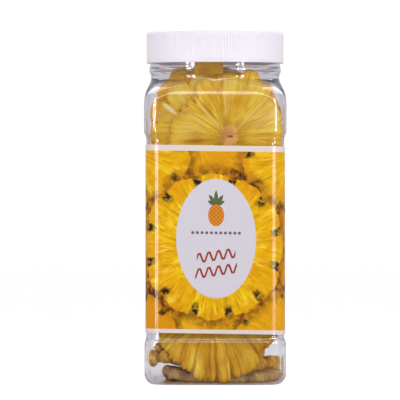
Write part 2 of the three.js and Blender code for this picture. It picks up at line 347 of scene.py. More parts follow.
softbox("shoulder_softbox", (0, 0.75, 1.15), (0, 0, 0.18), (1.8, 0.9), 15, ("glossy",))

# %% The surroundings: white to the camera, a soft grey as light, through the plastic and in reflections
world = bpy.data.worlds.new("white_room")
world.use_nodes = True
world.cycles.sampling_method = "NONE"
bpy.context.scene.world = world
room = Finish("white_room", world.node_tree)
rays = room.node("LightPath")
room_colour = (0.77, 0.765, 0.78)
for kind, tint in (
    ("Is Camera Ray", (1.02, 1.02, 1.02)),
    ("Is Transmission Ray", (0.72, 0.70, 0.745)),
    ("Is Glossy Ray", (0.61, 0.585, 0.635)),
):
    room_colour = room.mix(rays.output(kind), room_colour, tint)
room.node("OutputWorld", {}, Surface=room.node("Background", {}, Color=room_colour))
bpy.context.scene.view_settings.view_transform = "Standard"
bpy.context.scene.cycles.use_denoising = True
bpy.context.scene.cycles.caustics_reflective = False
bpy.context.scene.cycles.sample_clamp_indirect = 4.0
print("surroundings set with", len(world.node_tree.nodes), "nodes")

# %% The floor
FLOOR_R, FLOOR_COLUMNS = 7.0, 64


def add_flat(name, points, faces):
    """A mesh of a few flat faces, for the room round the jar. Its points are in metres."""
    mesh = bpy.data.meshes.new(name)
    mesh.from_pydata(points, [], faces)
    flat = bpy.data.objects.new(name, mesh)
    bpy.context.scene.collection.objects.link(flat)
    return flat


around = np.linspace(0, 2 * np.pi, FLOOR_COLUMNS, endpoint=False)
floor_rim = place_round(FLOOR_R, around, 0.0)
floor = add_flat("floor", floor_rim.tolist(), [list(range(FLOOR_COLUMNS))])
floor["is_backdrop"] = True


def finish_floor(piece):
    """Pale paper that the camera sees as nearly white whatever light falls on it, with a faint shadow."""
    finish = Finish("pale_floor")
    paper = finish.plastic((0.48, 0.465, 0.49, 1), 0.9)
    white = finish.node("Emission", {}, Color=(1, 1, 1, 1), Strength=1.2)
    seen = finish.node("LightPath").output("Is Camera Ray") * 0.75
    finish.surface(finish.node("MixShader", {}, seen, paper, white), piece)


finish_floor(floor)

# %% [markdown]
# A shiny jar mirrors whatever stands before it, and a pale room would lie over the fruit like milk. So a
# dark card lies on the floor in front of the jar and turns up behind the camera. Only reflections see it.

# %% The dark card, in metres
CARD_SIDE, CARD_NEAR, CARD_BACK, CARD_TOP, CARD_LIFT = 1.8, -0.25, -4.4, 2.2, 0.0005

card_line = (CARD_NEAR, CARD_LIFT), (CARD_BACK, CARD_LIFT), (CARD_BACK, CARD_TOP)
card_points = [(side * CARD_SIDE, y, z) for y, z in card_line for side in (-1, 1)]
dark_card = add_flat("dark_card", card_points, [[0, 1, 3, 2], [2, 3, 5, 4]])
dark_card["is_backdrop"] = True
for kind in ("camera", "diffuse", "transmission", "shadow"):
    setattr(dark_card, "visible_" + kind, False)
card_finish = Finish("dark_paper")
card_finish.surface(card_finish.plastic((0.04, 0.04, 0.04, 1), 1.0), dark_card)

# %% [markdown]
# ## The jar
# The jar is blown from clear plastic: a square body with round corners, a recessed panel for the label, a
# shoulder that turns into a round neck, and a base pushed up in its middle. One formula gives its
# cross-section at any height: how far a square with rounded corners reaches in each direction. When the
# corner radius grows to half the width, the square has become a circle, and that makes the shoulder.

# %% Sizes of the jar, in millimetres
PANEL_LOW, PANEL_HIGH = 28.9, 154.0
LOW_STEP, HIGH_STEP = 2.4, 3.3
FOOT_HALF, PANEL_HALF, TOP_HALF = 44.0, 42.85, 44.25
CORNER_R = 10.5
NECK_R, MOUTH_R, BEAD_R, NECK_INSIDE_R = 40.15, 40.8, 41.25, 38.8
WALL, NECK_WALL = 0.95, NECK_R - NECK_INSIDE_R
SHOULDER_LOW, SHOULDER_HIGH = 171.0, 191.2
NECK_TOP, BEAD_LOW, BEAD_HIGH, MOUTH_LOW = 193.2, 195.6, 197.4, 197.9
LIP_BEVEL = 0.7
LIP_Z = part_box("jar")[1][2] / MM
BASE_TOP, FLOOR_TOP = 6.1, 0.9  # the inside of the base: its pushed-up middle, and the ring round it
DOME_WALL, DOME_R, DOME_FOOT_R, DOME_FALL = 1.6, 23.4, 29.9, 0.6  # the form of that middle
ROUND_BASE_R, ROUND_BASE_Z = 33, 7  # within these the base is rounder than the body


# %% A line with rounded corners
def rounded(corners, finest=8.0, longest=3.0):
    """A path through corners of (width, height, radius): straight lines joined by arcs that touch both.
    Arcs turn at most finest degrees a step, and no step is longer than longest."""
    corners = np.asarray(corners, dtype=float)
    points = corners[:, :2]
    path = [points[:1]]
    for before, here, after, radius in zip(points[:-2], points[1:-1], points[2:], corners[1:-1, 2]):
        arriving, leaving = here - before, after - here
        room = 0.49 * min(np.linalg.norm(arriving), np.linalg.norm(leaving))
        arriving, leaving = arriving / np.linalg.norm(arriving), leaving / np.linalg.norm(leaving)
        turn = math.acos(np.clip(arriving @ leaving, -1, 1))
        cut = min(radius * math.tan(turn / 2), room)
        steps = max(2, math.ceil(math.degrees(turn) / finest))
        # The arc as a rational curve of the second degree: its middle weight is the cosine of half the turn.
        t = np.linspace(0, 1, steps + 1)[:, None]
        weight = math.cos(turn / 2)
        ends = (1 - t) ** 2, 2 * t * (1 - t) * weight, t**2
        bent = ends[0] * (here - arriving * cut) + ends[1] * here + ends[2] * (here + leaving * cut)
        path.append(bent / (ends[0] + ends[1] + ends[2]))
    path = np.concatenate([*path, points[-1:]])
    along = np.concatenate([[0], np.cumsum(np.linalg.norm(np.diff(path, axis=0), axis=1))])
    extra = np.arange(longest, along[-1], longest)
    near = np.abs(extra[:, None] - along[None, :]).min(axis=1) < longest / 4
    stations = np.sort(np.concatenate([along, extra[~near]]))
    return np.stack([np.interp(stations, along, path[:, 0]), np.interp(stations, along, path[:, 1])], axis=-1)


# %% The cross-section
COLUMNS = 220


def crowded_directions(columns=COLUMNS, crowding=0.72):
    """Directions round the jar, from its front to its right and on. The step shrinks near each corner:
    a whole turn plus a sine wave of four periods."""
    turn = 2 * np.pi * np.arange(columns) / columns
    return turn + crowding * np.sin(4 * turn) / 4 - np.pi / 2


def square_reach(direction, half, corner):
    """How far a square of half-width half, with corners of radius corner, reaches in a direction: a straight
    side divided by the cosine, or the far crossing of the ray with the corner's circle."""
    c, s = np.abs(np.cos(direction)), np.abs(np.sin(direction))
    flat = half - corner
    along = flat * (c + s)
    round_part = along + np.sqrt(np.maximum(0, along**2 - 2 * flat**2 + corner**2))
    on_side, on_top = s * half <= c * flat, c * half <= s * flat
    side, top = half / np.maximum(c, 1e-9), half / np.maximum(s, 1e-9)
    return np.where(on_side, side, np.where(on_top, top, round_part))


def corner_radius(half, z):
    """The corner's radius at a height: constant in the body, then growing to a full circle at the neck as a
    smooth step of the height, and towards the middle of the base as well."""
    t = np.clip((z - SHOULDER_LOW) / (SHOULDER_HIGH - SHOULDER_LOW), 0, 1) ** 2.3
    body = CORNER_R + (NECK_R - CORNER_R) * t * t * (3 - 2 * t)
    base = np.interp(half, [0, 18, ROUND_BASE_R], [0, 17, CORNER_R])
    return np.minimum(np.where((z < ROUND_BASE_Z) & (half < ROUND_BASE_R), base, body), half)


def square_rings(path, inset=0.0, columns=COLUMNS):
    """Rings of points for a path of (half-width, height)."""
    half, z = path[:, :1], path[:, 1:]
    direction = crowded_directions(columns)[None, :]
    corner = np.clip(corner_radius(half + inset, z) - inset, 0.5, half)
    return place_round(square_reach(direction, half, corner), direction, z)


# %% The jar's outside and inside
PANEL_STEP_R = 4.0
PATH_STEP = 1.6  # the longest step along the wall, short enough for smooth reflections


def shoulder(top, neck):
    """Half-widths and heights from the top of the body to the neck. The width falls by a smooth step of a
    power of the height, so the shoulder starts late and ends fast."""
    t = np.linspace(0, 1, 24)
    u = t**1.9
    half = top - (top - neck) * u * u * (3 - 2 * u)
    return np.stack([half, SHOULDER_LOW + (SHOULDER_HIGH - SHOULDER_LOW) * t], axis=-1)


outside_path = np.concatenate([
    rounded([
        (4, BASE_TOP - DOME_WALL, 0), (23, BASE_TOP - DOME_WALL - 0.5, 14), (29.6, 0, 2.0),
        (FOOT_HALF, 0, 11.0), (FOOT_HALF, PANEL_LOW - LOW_STEP, PANEL_STEP_R),
        (PANEL_HALF, PANEL_LOW, PANEL_STEP_R), (PANEL_HALF, PANEL_HIGH, PANEL_STEP_R),
        (TOP_HALF, PANEL_HIGH + HIGH_STEP, PANEL_STEP_R), (TOP_HALF, SHOULDER_LOW, 0),
    ], longest=PATH_STEP)[:-1],
    shoulder(TOP_HALF, NECK_R),
    rounded([
        (NECK_R, SHOULDER_HIGH, 0), (NECK_R, NECK_TOP, 2.5), (BEAD_R, BEAD_LOW, 1.6),
        (BEAD_R, BEAD_HIGH, 0.5), (MOUTH_R, MOUTH_LOW, 0.4), (MOUTH_R, LIP_Z, 0.5),
        (NECK_INSIDE_R + LIP_BEVEL, LIP_Z, 0.4),
    ], longest=PATH_STEP)[1:],
])
inside_path = np.concatenate([
    rounded([
        (NECK_INSIDE_R + LIP_BEVEL, LIP_Z, 0), (MOUTH_R - NECK_WALL, LIP_Z - 0.6, 0.3),
        (MOUTH_R - NECK_WALL, MOUTH_LOW, 0.4), (BEAD_R - NECK_WALL, BEAD_HIGH, 0.5),
        (BEAD_R - NECK_WALL, BEAD_LOW, 1.6), (NECK_INSIDE_R, NECK_TOP, 2.5),
        (NECK_INSIDE_R, SHOULDER_HIGH, 0),
    ], longest=PATH_STEP)[:-1],
    shoulder(TOP_HALF - WALL, NECK_INSIDE_R)[::-1],
    rounded([
        (TOP_HALF - WALL, SHOULDER_LOW, 0), (TOP_HALF - WALL, PANEL_HIGH + HIGH_STEP, PANEL_STEP_R),
        (PANEL_HALF - WALL, PANEL_HIGH, PANEL_STEP_R), (PANEL_HALF - WALL, PANEL_LOW, PANEL_STEP_R),
        (FOOT_HALF - WALL, PANEL_LOW - LOW_STEP, PANEL_STEP_R), (FOOT_HALF - WALL, FLOOR_TOP, 9.8),
        (DOME_FOOT_R, FLOOR_TOP, 2.0), (DOME_R, BASE_TOP - DOME_FALL, 12.0), (4, BASE_TOP, 0),
    ], longest=PATH_STEP)[1:],
])

jar_rings = np.concatenate([square_rings(outside_path), square_rings(inside_path[1:], WALL)])
jar_rows = len(jar_rings)
jar_points = np.concatenate([jar_rings.reshape(-1, 3), [[0, 0, BASE_TOP - DOME_WALL], [0, 0, BASE_TOP]]])
jar_faces = [grid_faces(jar_rows, COLUMNS), end_fans(jar_rows, COLUMNS)]
jar = add_piece("clear_jar", jar_points, jar_faces, "jar")

# %% [markdown]
# ### Clear plastic
# The wall is a true shell with two sides, so a glass shader bends what is seen through its corners and
# steps by itself. Light for the fruit would be blocked by a glass shader, because rays from lamps can't be
# bent to meet it. So for shadow rays and scattered rays the plastic is simply see-through. The thick rim of
# the base and the step above the label lead the fruit's light along themselves, and here that light is
# painted into the plastic's own colour as a warm tint: a painted reflection of the fruit.
# A thin clear coat gives the sharp glints: it is strong in two narrow columns of fine studs on the neck,
# along the foot of the neck and along the lower step, and weak elsewhere.

# %% Where the plastic glints, in metres
NECK_LINE_Z, LOWER_STEP_Z, UPPER_STEP_Z = 0.1892, 0.0277, 0.1573
STUD_COLUMN_X, STUDS_PER_METRE, STUD_DEPTH = 0.0153, 2400.0, 0.00003
PLAIN_COAT, STUD_COAT, STEP_COAT = 0.06, 0.13, 0.16
# The last two are painted reflections: warm tints that stand in for the fruit's light carried in the base's
# rim and in the step.
CLEAR, FOOT_PAINTED_REFLECTION, STEP_PAINTED_REFLECTION = (0.965, 0.96, 0.97), (0.88, 0.70, 0.46), (0.90, 0.83, 0.68)


# %% The finish of the jar
def clear_coat(finish, height, sideways, studs, columns, is_front):
    """How strong the coat is: the strongest of the studs, the neck's line, the step's line and the rest. The
    neck's line fades in its middle, where the curve would gather too much light."""
    dots = finish.step(studs, 0.53, 0.60) * columns * STUD_COAT
    neck_line = finish.band(height, NECK_LINE_Z, 0.0010, 0.0006) * finish.step(sideways, 0.0165, 0.0145)
    neck_line = neck_line * (finish.step(sideways, 0.002, 0.006) * 0.5 + 0.1)
    step_line = finish.band(height, LOWER_STEP_Z, 0.0018, 0.0014) * STEP_COAT
    glints = dots.maths("MAXIMUM", neck_line).maths("MAXIMUM", step_line)
    return (glints * is_front).maths("MAXIMUM", PLAIN_COAT)


def clear_with_painted_reflection(finish, x, height, is_front):
    """Clear, with painted reflections of the fruit: a warm tint at the foot where fruit lies behind it, and
    one in the step above the label.
    """
    painted_foot_share = finish.step(height, 0.0034, 0.0016) * finish.band(x, 0.001, 0.038, 0.033)
    painted_step_share = finish.step(height, UPPER_STEP_Z, UPPER_STEP_Z - 0.0005) * finish.step(height, 0.10, 0.11)
    return finish.mix(painted_step_share * is_front, finish.mix(painted_foot_share, CLEAR, FOOT_PAINTED_REFLECTION), STEP_PAINTED_REFLECTION)


def finish_clear_plastic(piece):
    finish = Finish("clear_plastic")
    place = finish.object_place()
    x, y, height = finish.split(place)
    is_front, sideways = finish.step(y, -0.02, -0.03), abs(x)
    columns = finish.band(sideways, STUD_COLUMN_X, 0.0030, 0.0022) * finish.step(height, 0.1885, 0.1895)
    studs = finish.noise(place, STUDS_PER_METRE, 1.0)
    bump = finish.node("Bump", {}, Strength=1.0, Distance=STUD_DEPTH, Height=studs * columns * is_front)
    tint = clear_with_painted_reflection(finish, x, height, is_front)
    glint = clear_coat(finish, height, sideways, studs, columns, is_front)
    glass = finish.node(
        "BsdfPrincipled", {}, Base_Color=tint, Roughness=0.03, IOR=1.5, Transmission_Weight=1.0,
        Specular_Tint=(0.25, 0.25, 0.25, 1), Normal=bump, Coat_Weight=glint, Coat_IOR=1.9,
        Coat_Roughness=0.07,
    )
    passing = finish.node("BsdfTransparent", {}, Color=(0.96, 0.955, 0.965, 1))
    rays = finish.node("LightPath")
    lets_through = rays.output("Is Shadow Ray").maths("MAXIMUM", rays.output("Is Diffuse Ray"))
    finish.surface(finish.node("MixShader", {}, lets_through, glass, passing), piece)


finish_clear_plastic(jar)

# %% [markdown]
# ## The cap
# The screw cap is moulded in white plastic: fine upright ribs for grip, a smooth band at the foot and a
# rounded edge on top. It is a turned shape, so it is rings again, and the ribs are a wave that is added to
# the radius, only between the foot band and the rounded edge.

# %% The cap's form
CAP_LOW, CAP_HIGH = (corner[2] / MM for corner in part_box("cap"))
CAP_R, CAP_WALL, CAP_ROUNDING = 42.95, 1.2, 1.9
CAP_CEILING, CAP_DISH = CAP_HIGH - 1.9, CAP_HIGH - 0.45  # the underside of the top, and its sunk middle
RIBS, RIB_DEPTH, POINTS_PER_RIB = 150, 0.24, 8
RIB_LOW, RIB_HIGH, RIB_START, RIB_END = CAP_LOW + 2.7, CAP_HIGH - 2.1, 0.4, 1.4

cap_path = rounded([
    (3, CAP_CEILING, 0), (CAP_R - CAP_WALL, CAP_CEILING, 0.6), (CAP_R - CAP_WALL, CAP_LOW, 0.1),
    (CAP_R, CAP_LOW, 0.35), (CAP_R, CAP_HIGH, CAP_ROUNDING), (36.2, CAP_HIGH, 0.5), (35.2, CAP_DISH, 0.5),
    (3, CAP_DISH, 0),
], finest=15, longest=5.5)
# The straight part of the outside gets rows of its own where the ribs begin and end.
rib_heights = RIB_LOW - 0.35, RIB_LOW, RIB_LOW + RIB_START, RIB_HIGH - 1.0, RIB_HIGH
is_outer = cap_path[:, 0] > CAP_R - 0.01
first = np.flatnonzero(is_outer)[0] + 1
last = np.flatnonzero(is_outer & (cap_path[:, 1] < RIB_HIGH - 1))[-1] + 1
cap_path = np.concatenate([cap_path[:first], [(CAP_R, z) for z in rib_heights], cap_path[last:]])

cap_columns = RIBS * POINTS_PER_RIB
direction = 2 * np.pi * np.arange(cap_columns) / cap_columns
r, z = cap_path[:, :1], cap_path[:, 1:]
is_ribbed = (r > CAP_R - CAP_WALL) & (z > RIB_LOW - 0.01)
fade = np.clip((z - RIB_LOW) / RIB_START, 0, 1) * np.clip((CAP_HIGH - z) / RIB_END, 0, 1)
wave = (0.5 + 0.5 * np.cos(RIBS * direction[None, :])) ** 0.7
ribbed_r = r - np.where(is_ribbed, RIB_DEPTH * fade * (1 - wave), 0)
cap_rings = place_round(ribbed_r, direction, z)
cap_points = np.concatenate([cap_rings.reshape(-1, 3), [[0, 0, CAP_CEILING], [0, 0, CAP_DISH]]])
cap_faces = [grid_faces(len(cap_path), cap_columns), end_fans(len(cap_path), cap_columns)]
cap = add_piece("screw_cap", cap_points, cap_faces, "cap")


# %% The finish of the cap
def finish_white_plastic(piece):
    finish = Finish("white_plastic")
    place = finish.object_place()
    cloud = finish.noise(place, 60.0, 3.0)
    grain = finish.noise(place, 2500.0, 2.0)
    colour = finish.mix(cloud, (0.755, 0.72, 0.775), (0.79, 0.755, 0.81))
    bump = finish.node("Bump", {}, Strength=0.15, Distance=0.00005, Height=grain)
    roughness = cloud * 0.08 + 0.38
    finish.surface(finish.plastic(colour, roughness, IOR=1.49, Specular_IOR_Level=0.1, Normal=bump), piece)


finish_white_plastic(cap)

# %% [markdown]
# ## The dried slices
# A slice of fresh pineapple loses most of its water when it dries. It shrinks, curls and ruffles, its
# fibres stand out as fine rays from the tough core to the rim, and the rim keeps the notches where the
# eyes were cut away. All of that is a function of two parameters: the share of the way from the core to
# the rim, and the angle. A sculpted mesh would look as good, but a formula gives every slice its own form.

# %% Chances that belong to a slice
SLICE_THICK = 3.0


def chance(n, use):
    """A number from 0 to 1 that depends only on the slice n and on what it is for."""
    s = math.sin(n * 12.9898 + use * 78.233) * 43758.5453
    return s - math.floor(s)


def spread(n, use, reach):
    return (2 * chance(n, use) - 1) * reach


def ripples(angle, n, use, waves):
    """A sum of cosines round the slice, one for each number of waves, each with a phase of its own."""
    parts = [np.cos(k * angle + 2 * np.pi * chance(n, use + 7 * i)) for i, k in enumerate(waves)]
    return sum(parts) / math.sqrt(len(parts))


# %% [markdown]
# ### The rim of a slice
# The rim is a row of tongues with clefts between them. Slices behind others can have theirs drawn by
# chance, but a few are seen so well that each of their tongues is given: its width in degrees, how far it
# reaches from the middle, and how far the cleft before it reaches. For the two lying slices it is also given
# how far each tongue is lifted.

# %% The tongues
# The numbers of the slices with tongues of their own. Each has its first angle, and a row for each tongue.
FRONT_UPPER, RISEN, BEHIND_LEFT, FRONT_LOWER, LYING, BOTTOM = 0, 2, 3, 13, 40, 41
TONGUES = {
    FRONT_UPPER: (-6, [
        (21, 34, 33), (16, 35.4, 33.5), (13, 38, 35), (13, 41.4, 38.5), (22, 44.4, 40), (21, 40, 38.5),
        (26, 40, 38), (16, 34, 33), (16, 34.8, 33.2), (18, 37, 34.5), (20, 38, 36.2), (26, 37, 35),
        (26, 36, 34), (24, 37, 34), (26, 36, 34), (28, 36, 34), (26, 35, 33),
    ]),
    RISEN: (50, [
        (22, 35.5, 34.5), (34, 40.5, 32.5), (22, 34.5, 31), (26, 37, 35), (28, 37, 35), (28, 36, 34),
        (30, 37, 35), (28, 36, 34), (30, 37, 35), (28, 37, 35), (28, 36, 34), (28, 37, 35), (28, 36, 34),
    ]),
    FRONT_LOWER: (-162, [
        (20, 36.6, 35), (16, 36.6, 35.2), (15, 36.8, 35), (16, 39.8, 36.2), (7.3, 40.2, 38.4),
        (14.9, 41.8, 36.6), (7.8, 40.5, 35.8), (24, 41, 39.6), (18, 36, 38.6), (24, 36, 33.5), (25, 37, 35),
        *[(24, 36, 34.5), (25, 37, 35)] * 3, (24, 36, 34.5),
    ]),
    BEHIND_LEFT: (95, [
        (22, 37.5, 35), (24, 31, 31), (28, 29, 28), (28, 26.5, 25), (28, 28, 26), *[(28, 37, 35)] * 7,
        (34, 38, 36),
    ]),
    LYING: (-12, [
        (22, 42, 39), (20, 41, 38), (24, 40, 37), (24, 38, 36), (24, 37, 35), (24, 38, 35), (22, 39, 36),
        (20, 39, 36), (22, 40, 37), (20, 40.5, 35.5), (22, 41, 34.5), (24, 31, 29), (26, 33, 28),
        (26, 34, 32), (24, 36, 33), (16, 39, 35),
    ]),
    BOTTOM: (-15, [
        *[(30, 42, 40)] * 5, (30, 36, 34), (30, 34, 33), (22, 37, 35), (20, 42, 36), (36, 36.5, 35),
        (30, 36.5, 35), (22, 42, 35), (20, 44, 41),
    ]),
}
# How far each tongue of the lying slices is lifted, and how rough a rim is.
LIFTS = {
    LYING: (0.6, -0.8, 1, 0, -1, 0.5, 0, 1, -1.6, 4.4, 1.4, 2, 1, 0, -1, 1),
    BOTTOM: (0, 0.5, 0, -0.5, 0, 0.5, 1, 3.6, 3.0, 0, -0.5, 0, 0.5),
}
RAGGED, PLAIN_RAGGED = {FRONT_LOWER: 0.5, FRONT_LOWER + 1: 0.6}, 0.22
DRAWN_TONGUES = 13


def tongues_of(n, r):
    """Where each tongue of a slice starts, its width, its reach and the cleft before it. Those that are drawn
    by chance differ in width by up to a third, and their clefts are 1.1 to 3.3 deep."""
    if n in TONGUES:
        start, rows = TONGUES[n]
        widths, reach, cleft = np.array(rows, dtype=float).T
        start = math.radians(start)
    else:
        picks = range(DRAWN_TONGUES)
        start = spread(n, 3, np.pi / DRAWN_TONGUES)
        widths = np.array([1 + spread(n, 40 + k, 0.33) for k in picks])
        reach = np.array([r * (1 + spread(n, 60 + k, 0.03)) for k in picks])
        cleft = reach - np.array([1.1 + 2.2 * chance(n, 80 + k) for k in picks])
    widths = widths * 2 * np.pi / widths.sum()
    return start, widths, reach, np.minimum(cleft, np.minimum(reach, np.roll(reach, 1)) - 0.2)


def along_rim(angle, n, r):
    """For each angle: the number of its tongue, where it lies in the tongue from -1 to 1, and the rim's
    radius. The radius rises from the line between two clefts to the tongue's reach, by 1 less a fourth
    power."""
    start, widths, reach, cleft = tongues_of(n, r)
    starts = np.concatenate([[0], np.cumsum(widths)])
    turned = np.mod(angle - start, 2 * np.pi)
    number = np.clip(np.searchsorted(starts, turned, side="right") - 1, 0, len(widths) - 1)
    share = (turned - starts[number]) / widths[number]
    lies = 2 * share - 1
    low = cleft[number] * (1 - share) + np.roll(cleft, -1)[number] * share
    ragged = RAGGED.get(n, PLAIN_RAGGED) * ripples(angle, n, 160, (47, 61, 71, 83, 97))
    return number, lies, low + (reach[number] - low) * (1 - np.abs(lies) ** 4) + ragged


# %% [markdown]
# ### The body of a slice
# Rings run from the middle of the back over the rim to the middle of the front. How far a point lies from
# flat is the curl, and half the thickness takes it to the front or the back. Clefts go on inwards as
# folds, so each tongue bulges by itself.


# %% Curl, folds and thickness
EDGE, EDGE_RINGS = 0.06, 6  # the rounded edge's share of the way out, and its rings
CORE_SHARE, CORE_RISE = 0.17, 0.3


def curl(share, angle, n, bowl=0.0):
    """How far the slice has curled from flat: a shallow bowl, a saddle and a ruffle that grows to the rim."""
    bowl = spread(n, 4, 0.5) + bowl
    saddle = 0.7 * np.cos(2 * angle + 2 * np.pi * chance(n, 5))
    ruffle = 0.8 * np.cos(5 * angle + 2 * np.pi * chance(n, 6))
    return (bowl + saddle) * share**2 + ruffle * share**3


def per_tongue(draw, number):
    """Draws a value for each tongue, and gives each point the value of its own."""
    return np.array([draw(k) for k in range(number.max() + 1)])[number]


def spread_out(n, place, columns, rows):
    """Where each point lies: its share of the way out, its side from -1 behind to 1 in front, its angle, and
    its tongue. The rings are evenly spaced as far as the rounded edge, where the side closes as a cosine
    while the share grows as a sine. The rays swirl a little, and may bend down to one side."""
    edge = np.linspace(0, np.pi / 2, EDGE_RINGS + 1)[1:]
    shares = np.concatenate([np.linspace(0, 1 - EDGE, rows + 1)[1:], 1 - EDGE + EDGE * np.sin(edge)])
    closing = np.concatenate([np.ones(rows), np.cos(edge)])
    share = np.concatenate([shares, shares[-2::-1]])[:, None]
    side = np.concatenate([-closing, closing[-2::-1]])[:, None]
    angle = 2 * np.pi * np.arange(columns)[None, :] / columns
    bend = place.get("bend", 0) * (1 - share) * np.clip(-2 * np.sin(angle), 0, 1)
    swirl = angle + 0.03 * ripples(5 * share, n, 95, (1, 2)) * share - bend * np.cos(angle)
    number, lies, rim = along_rim(swirl, n, place["r"])
    return SimpleNamespace(
        share=share, side=side, angle=angle, swirl=swirl, number=number, lies=lies, rim=rim,
        x=share * rim * np.cos(angle), y=share * rim * np.sin(angle),
        cleft_fold=np.exp(-(((1 - np.abs(lies)) / 0.22) ** 2)),
    )


def thickness_of(place):
    """How thick a slice is in its middle and at its rim. Between, it changes with the square of the share."""
    return place.get("thick", (1.05 * SLICE_THICK, 0.75 * SLICE_THICK))


def height_of(n, place, at):
    """How far each point lies in front of the slice's plane: the curl, the bulge of its tongue and most of
    the folds, and to each side half the thickness, the rest of the folds and the raised core."""
    relief = place.get("relief", 1.0)
    bulge = per_tongue(lambda k: LIFTS[n][k] if n in LIFTS else spread(n, 200 + k, relief), at.number)
    ridges = place.get("ridges", 0.2) * ripples(at.swirl, n, 100, (19, 26, 33, 41, 47, 59))
    folds = relief * np.clip((at.share - 0.2) / 0.6, 0, 1) * (0.28 - at.cleft_fold + ridges)
    tongue_bulge = 0.8 * bulge * (1 - at.lies**2) * at.share**3
    core_rise = CORE_RISE * np.exp(-((at.share / CORE_SHARE) ** 4))
    thin, thick = thickness_of(place)
    body = thin + (thick - thin) * at.share**2
    out = curl(at.share, at.angle, n, place.get("bowl", 0)) + tongue_bulge + 0.6 * folds
    return out + at.side * (body / 2 + 0.4 * folds + core_rise)


def tints_of(n, place, at):
    """The slice's own tone, how pale each point is and how brown. Some tongues are paler, some keep a dark
    eye beside their cleft, and the rim is scorched in places. Spots of their own are turned ovals."""
    pale = per_tongue(lambda k: chance(n, 300 + k), at.number) ** 2
    pale = pale * np.clip((at.share - 0.35) / 0.5, 0, 1) * (1 - at.cleft_fold) * place.get("mottle", 1)
    has_eye = per_tongue(lambda k: chance(n, 320 + k) > 0.62, at.number)
    deep = at.rim * (1 - at.share)
    eye = np.exp(-(((1 - np.abs(at.lies)) / 0.16) ** 2) - ((deep - 1.6) / 1.1) ** 2)
    scorch = np.clip(ripples(at.angle, n, 340, (2, 3, 5, 9)) - 0.5, 0, 1) * np.exp(-((deep / 2.2) ** 2))
    brown = np.maximum(has_eye * (at.lies < 0) * (at.side > 0) * eye, 0.6 * scorch)
    for spot_x, spot_y, length, width, turn, paleness, brownness in place.get("spots", ()):
        along = (at.x - spot_x) * math.cos(turn) + (at.y - spot_y) * math.sin(turn)
        across = (at.y - spot_y) * math.cos(turn) - (at.x - spot_x) * math.sin(turn)
        spot = np.exp(-((along / length) ** 2) - (across / width) ** 2)
        pale, brown = pale + paleness * spot, np.maximum(brown, brownness * spot)
    return np.stack(np.broadcast_arrays(chance(n, 30) + 0 * at.share, pale, brown), axis=-1)


def slice_form(n, place, columns, rows):
    """Points of one slice in its own plane, for each point its map and its tints, and the number of rings."""
    at = spread_out(n, place, columns, rows)
    rings = np.stack([at.x, at.y, height_of(n, place, at)], axis=-1)
    top = thickness_of(place)[0] / 2 + CORE_RISE
    points = np.concatenate([rings.reshape(-1, 3), [[0, 0, -top], [0, 0, top]]])
    flat_map = np.stack([at.share * np.cos(at.swirl), at.share * np.sin(at.swirl)], axis=-1)
    flat_map = np.concatenate([flat_map.reshape(-1, 2), np.zeros((2, 2))])
    tints = np.concatenate([tints_of(n, place, at).reshape(-1, 3), [[chance(n, 30), 0, 0]] * 2])
    return points, flat_map, tints, len(at.share)


# %% Where the slices stand
ROW_FRONT, LOWER_ROW_FRONT, ROW_PITCH, ROW_COUNT = -37.4, -28.6, 6.2, 13
TOP_PIVOT = 128.0
UPPER_HEIGHTS = (154.6, 157, 164, 161.5, 160, 154, 158, 163, 156, 161, 155, 158, 153)
UPPER_SIDEWAYS = {FRONT_UPPER: 8.4, 1: -3.6, RISEN: -4.4, BEHIND_LEFT: -14.0, 4: 8.0}
# Each row: x and y from the middle, length, width, turn, how pale, how brown.
FRONT_SPOTS = (
    (-30.2, 16.3, 0.9, 1.2, 0.4, 0, 1.0), (-36.2, 10.8, 1.6, 2.6, 0.3, 0, 0.55),
    (-21.6, 22.2, 2.6, 1.3, 2.3, 0, 0.6), (-27.5, 14.5, 2.6, 2.0, 2.6, 0, 0.35),
    (-12.0, 15.5, 12.0, 0.7, 2.3, 0, 0.5), (-15.0, 16.0, 11.0, 0.6, 2.3, 1.0, 0),
    (22.0, 1.5, 11.0, 0.6, 0.06, 0, 0.4), (-20.0, -2.8, 10.0, 1.6, 0.05, 0, 0.5),
    (27.0, 24.0, 3.0, 2.2, 0.8, 0, 0.35), (12.0, 12.0, 12.0, 0.5, 0.8, 0.8, 0),
    (-2.2, 21.0, 6.0, 0.5, 1.67, 0.9, 0), (-4.4, 34.0, 11.0, 1.3, 1.57, 0, 0.42),
    (25.0, 13.0, 14.0, 9.0, 0.6, 0.4, 0), (-25.0, 3.0, 9.0, 7.0, 0.3, 0.3, 0),
)
SLIT_SPOTS = ((-24.4, 14.5, 4.6, 0.8, -0.68, 4.0, 0),)
LOWER_SPOTS = (
    (-9.5, -31.5, 6.0, 2.0, 1.45, 1.3, 0), (-13.5, -27.0, 6.0, 1.4, 1.3, 1.0, 0),
    (-25.0, -17.5, 6.5, 1.8, 0.9, 1.0, 0), (-2.0, -29.0, 10.0, 2.4, 1.57, 0, 0.26),
    (9.6, -27.0, 8.0, 0.5, 1.6, 1.0, 0), (14.0, -29.0, 7.0, 1.2, 1.75, 0, 0.3),
    (-17.5, -22.0, 5.0, 2.2, 1.2, 0, 0.2),
)

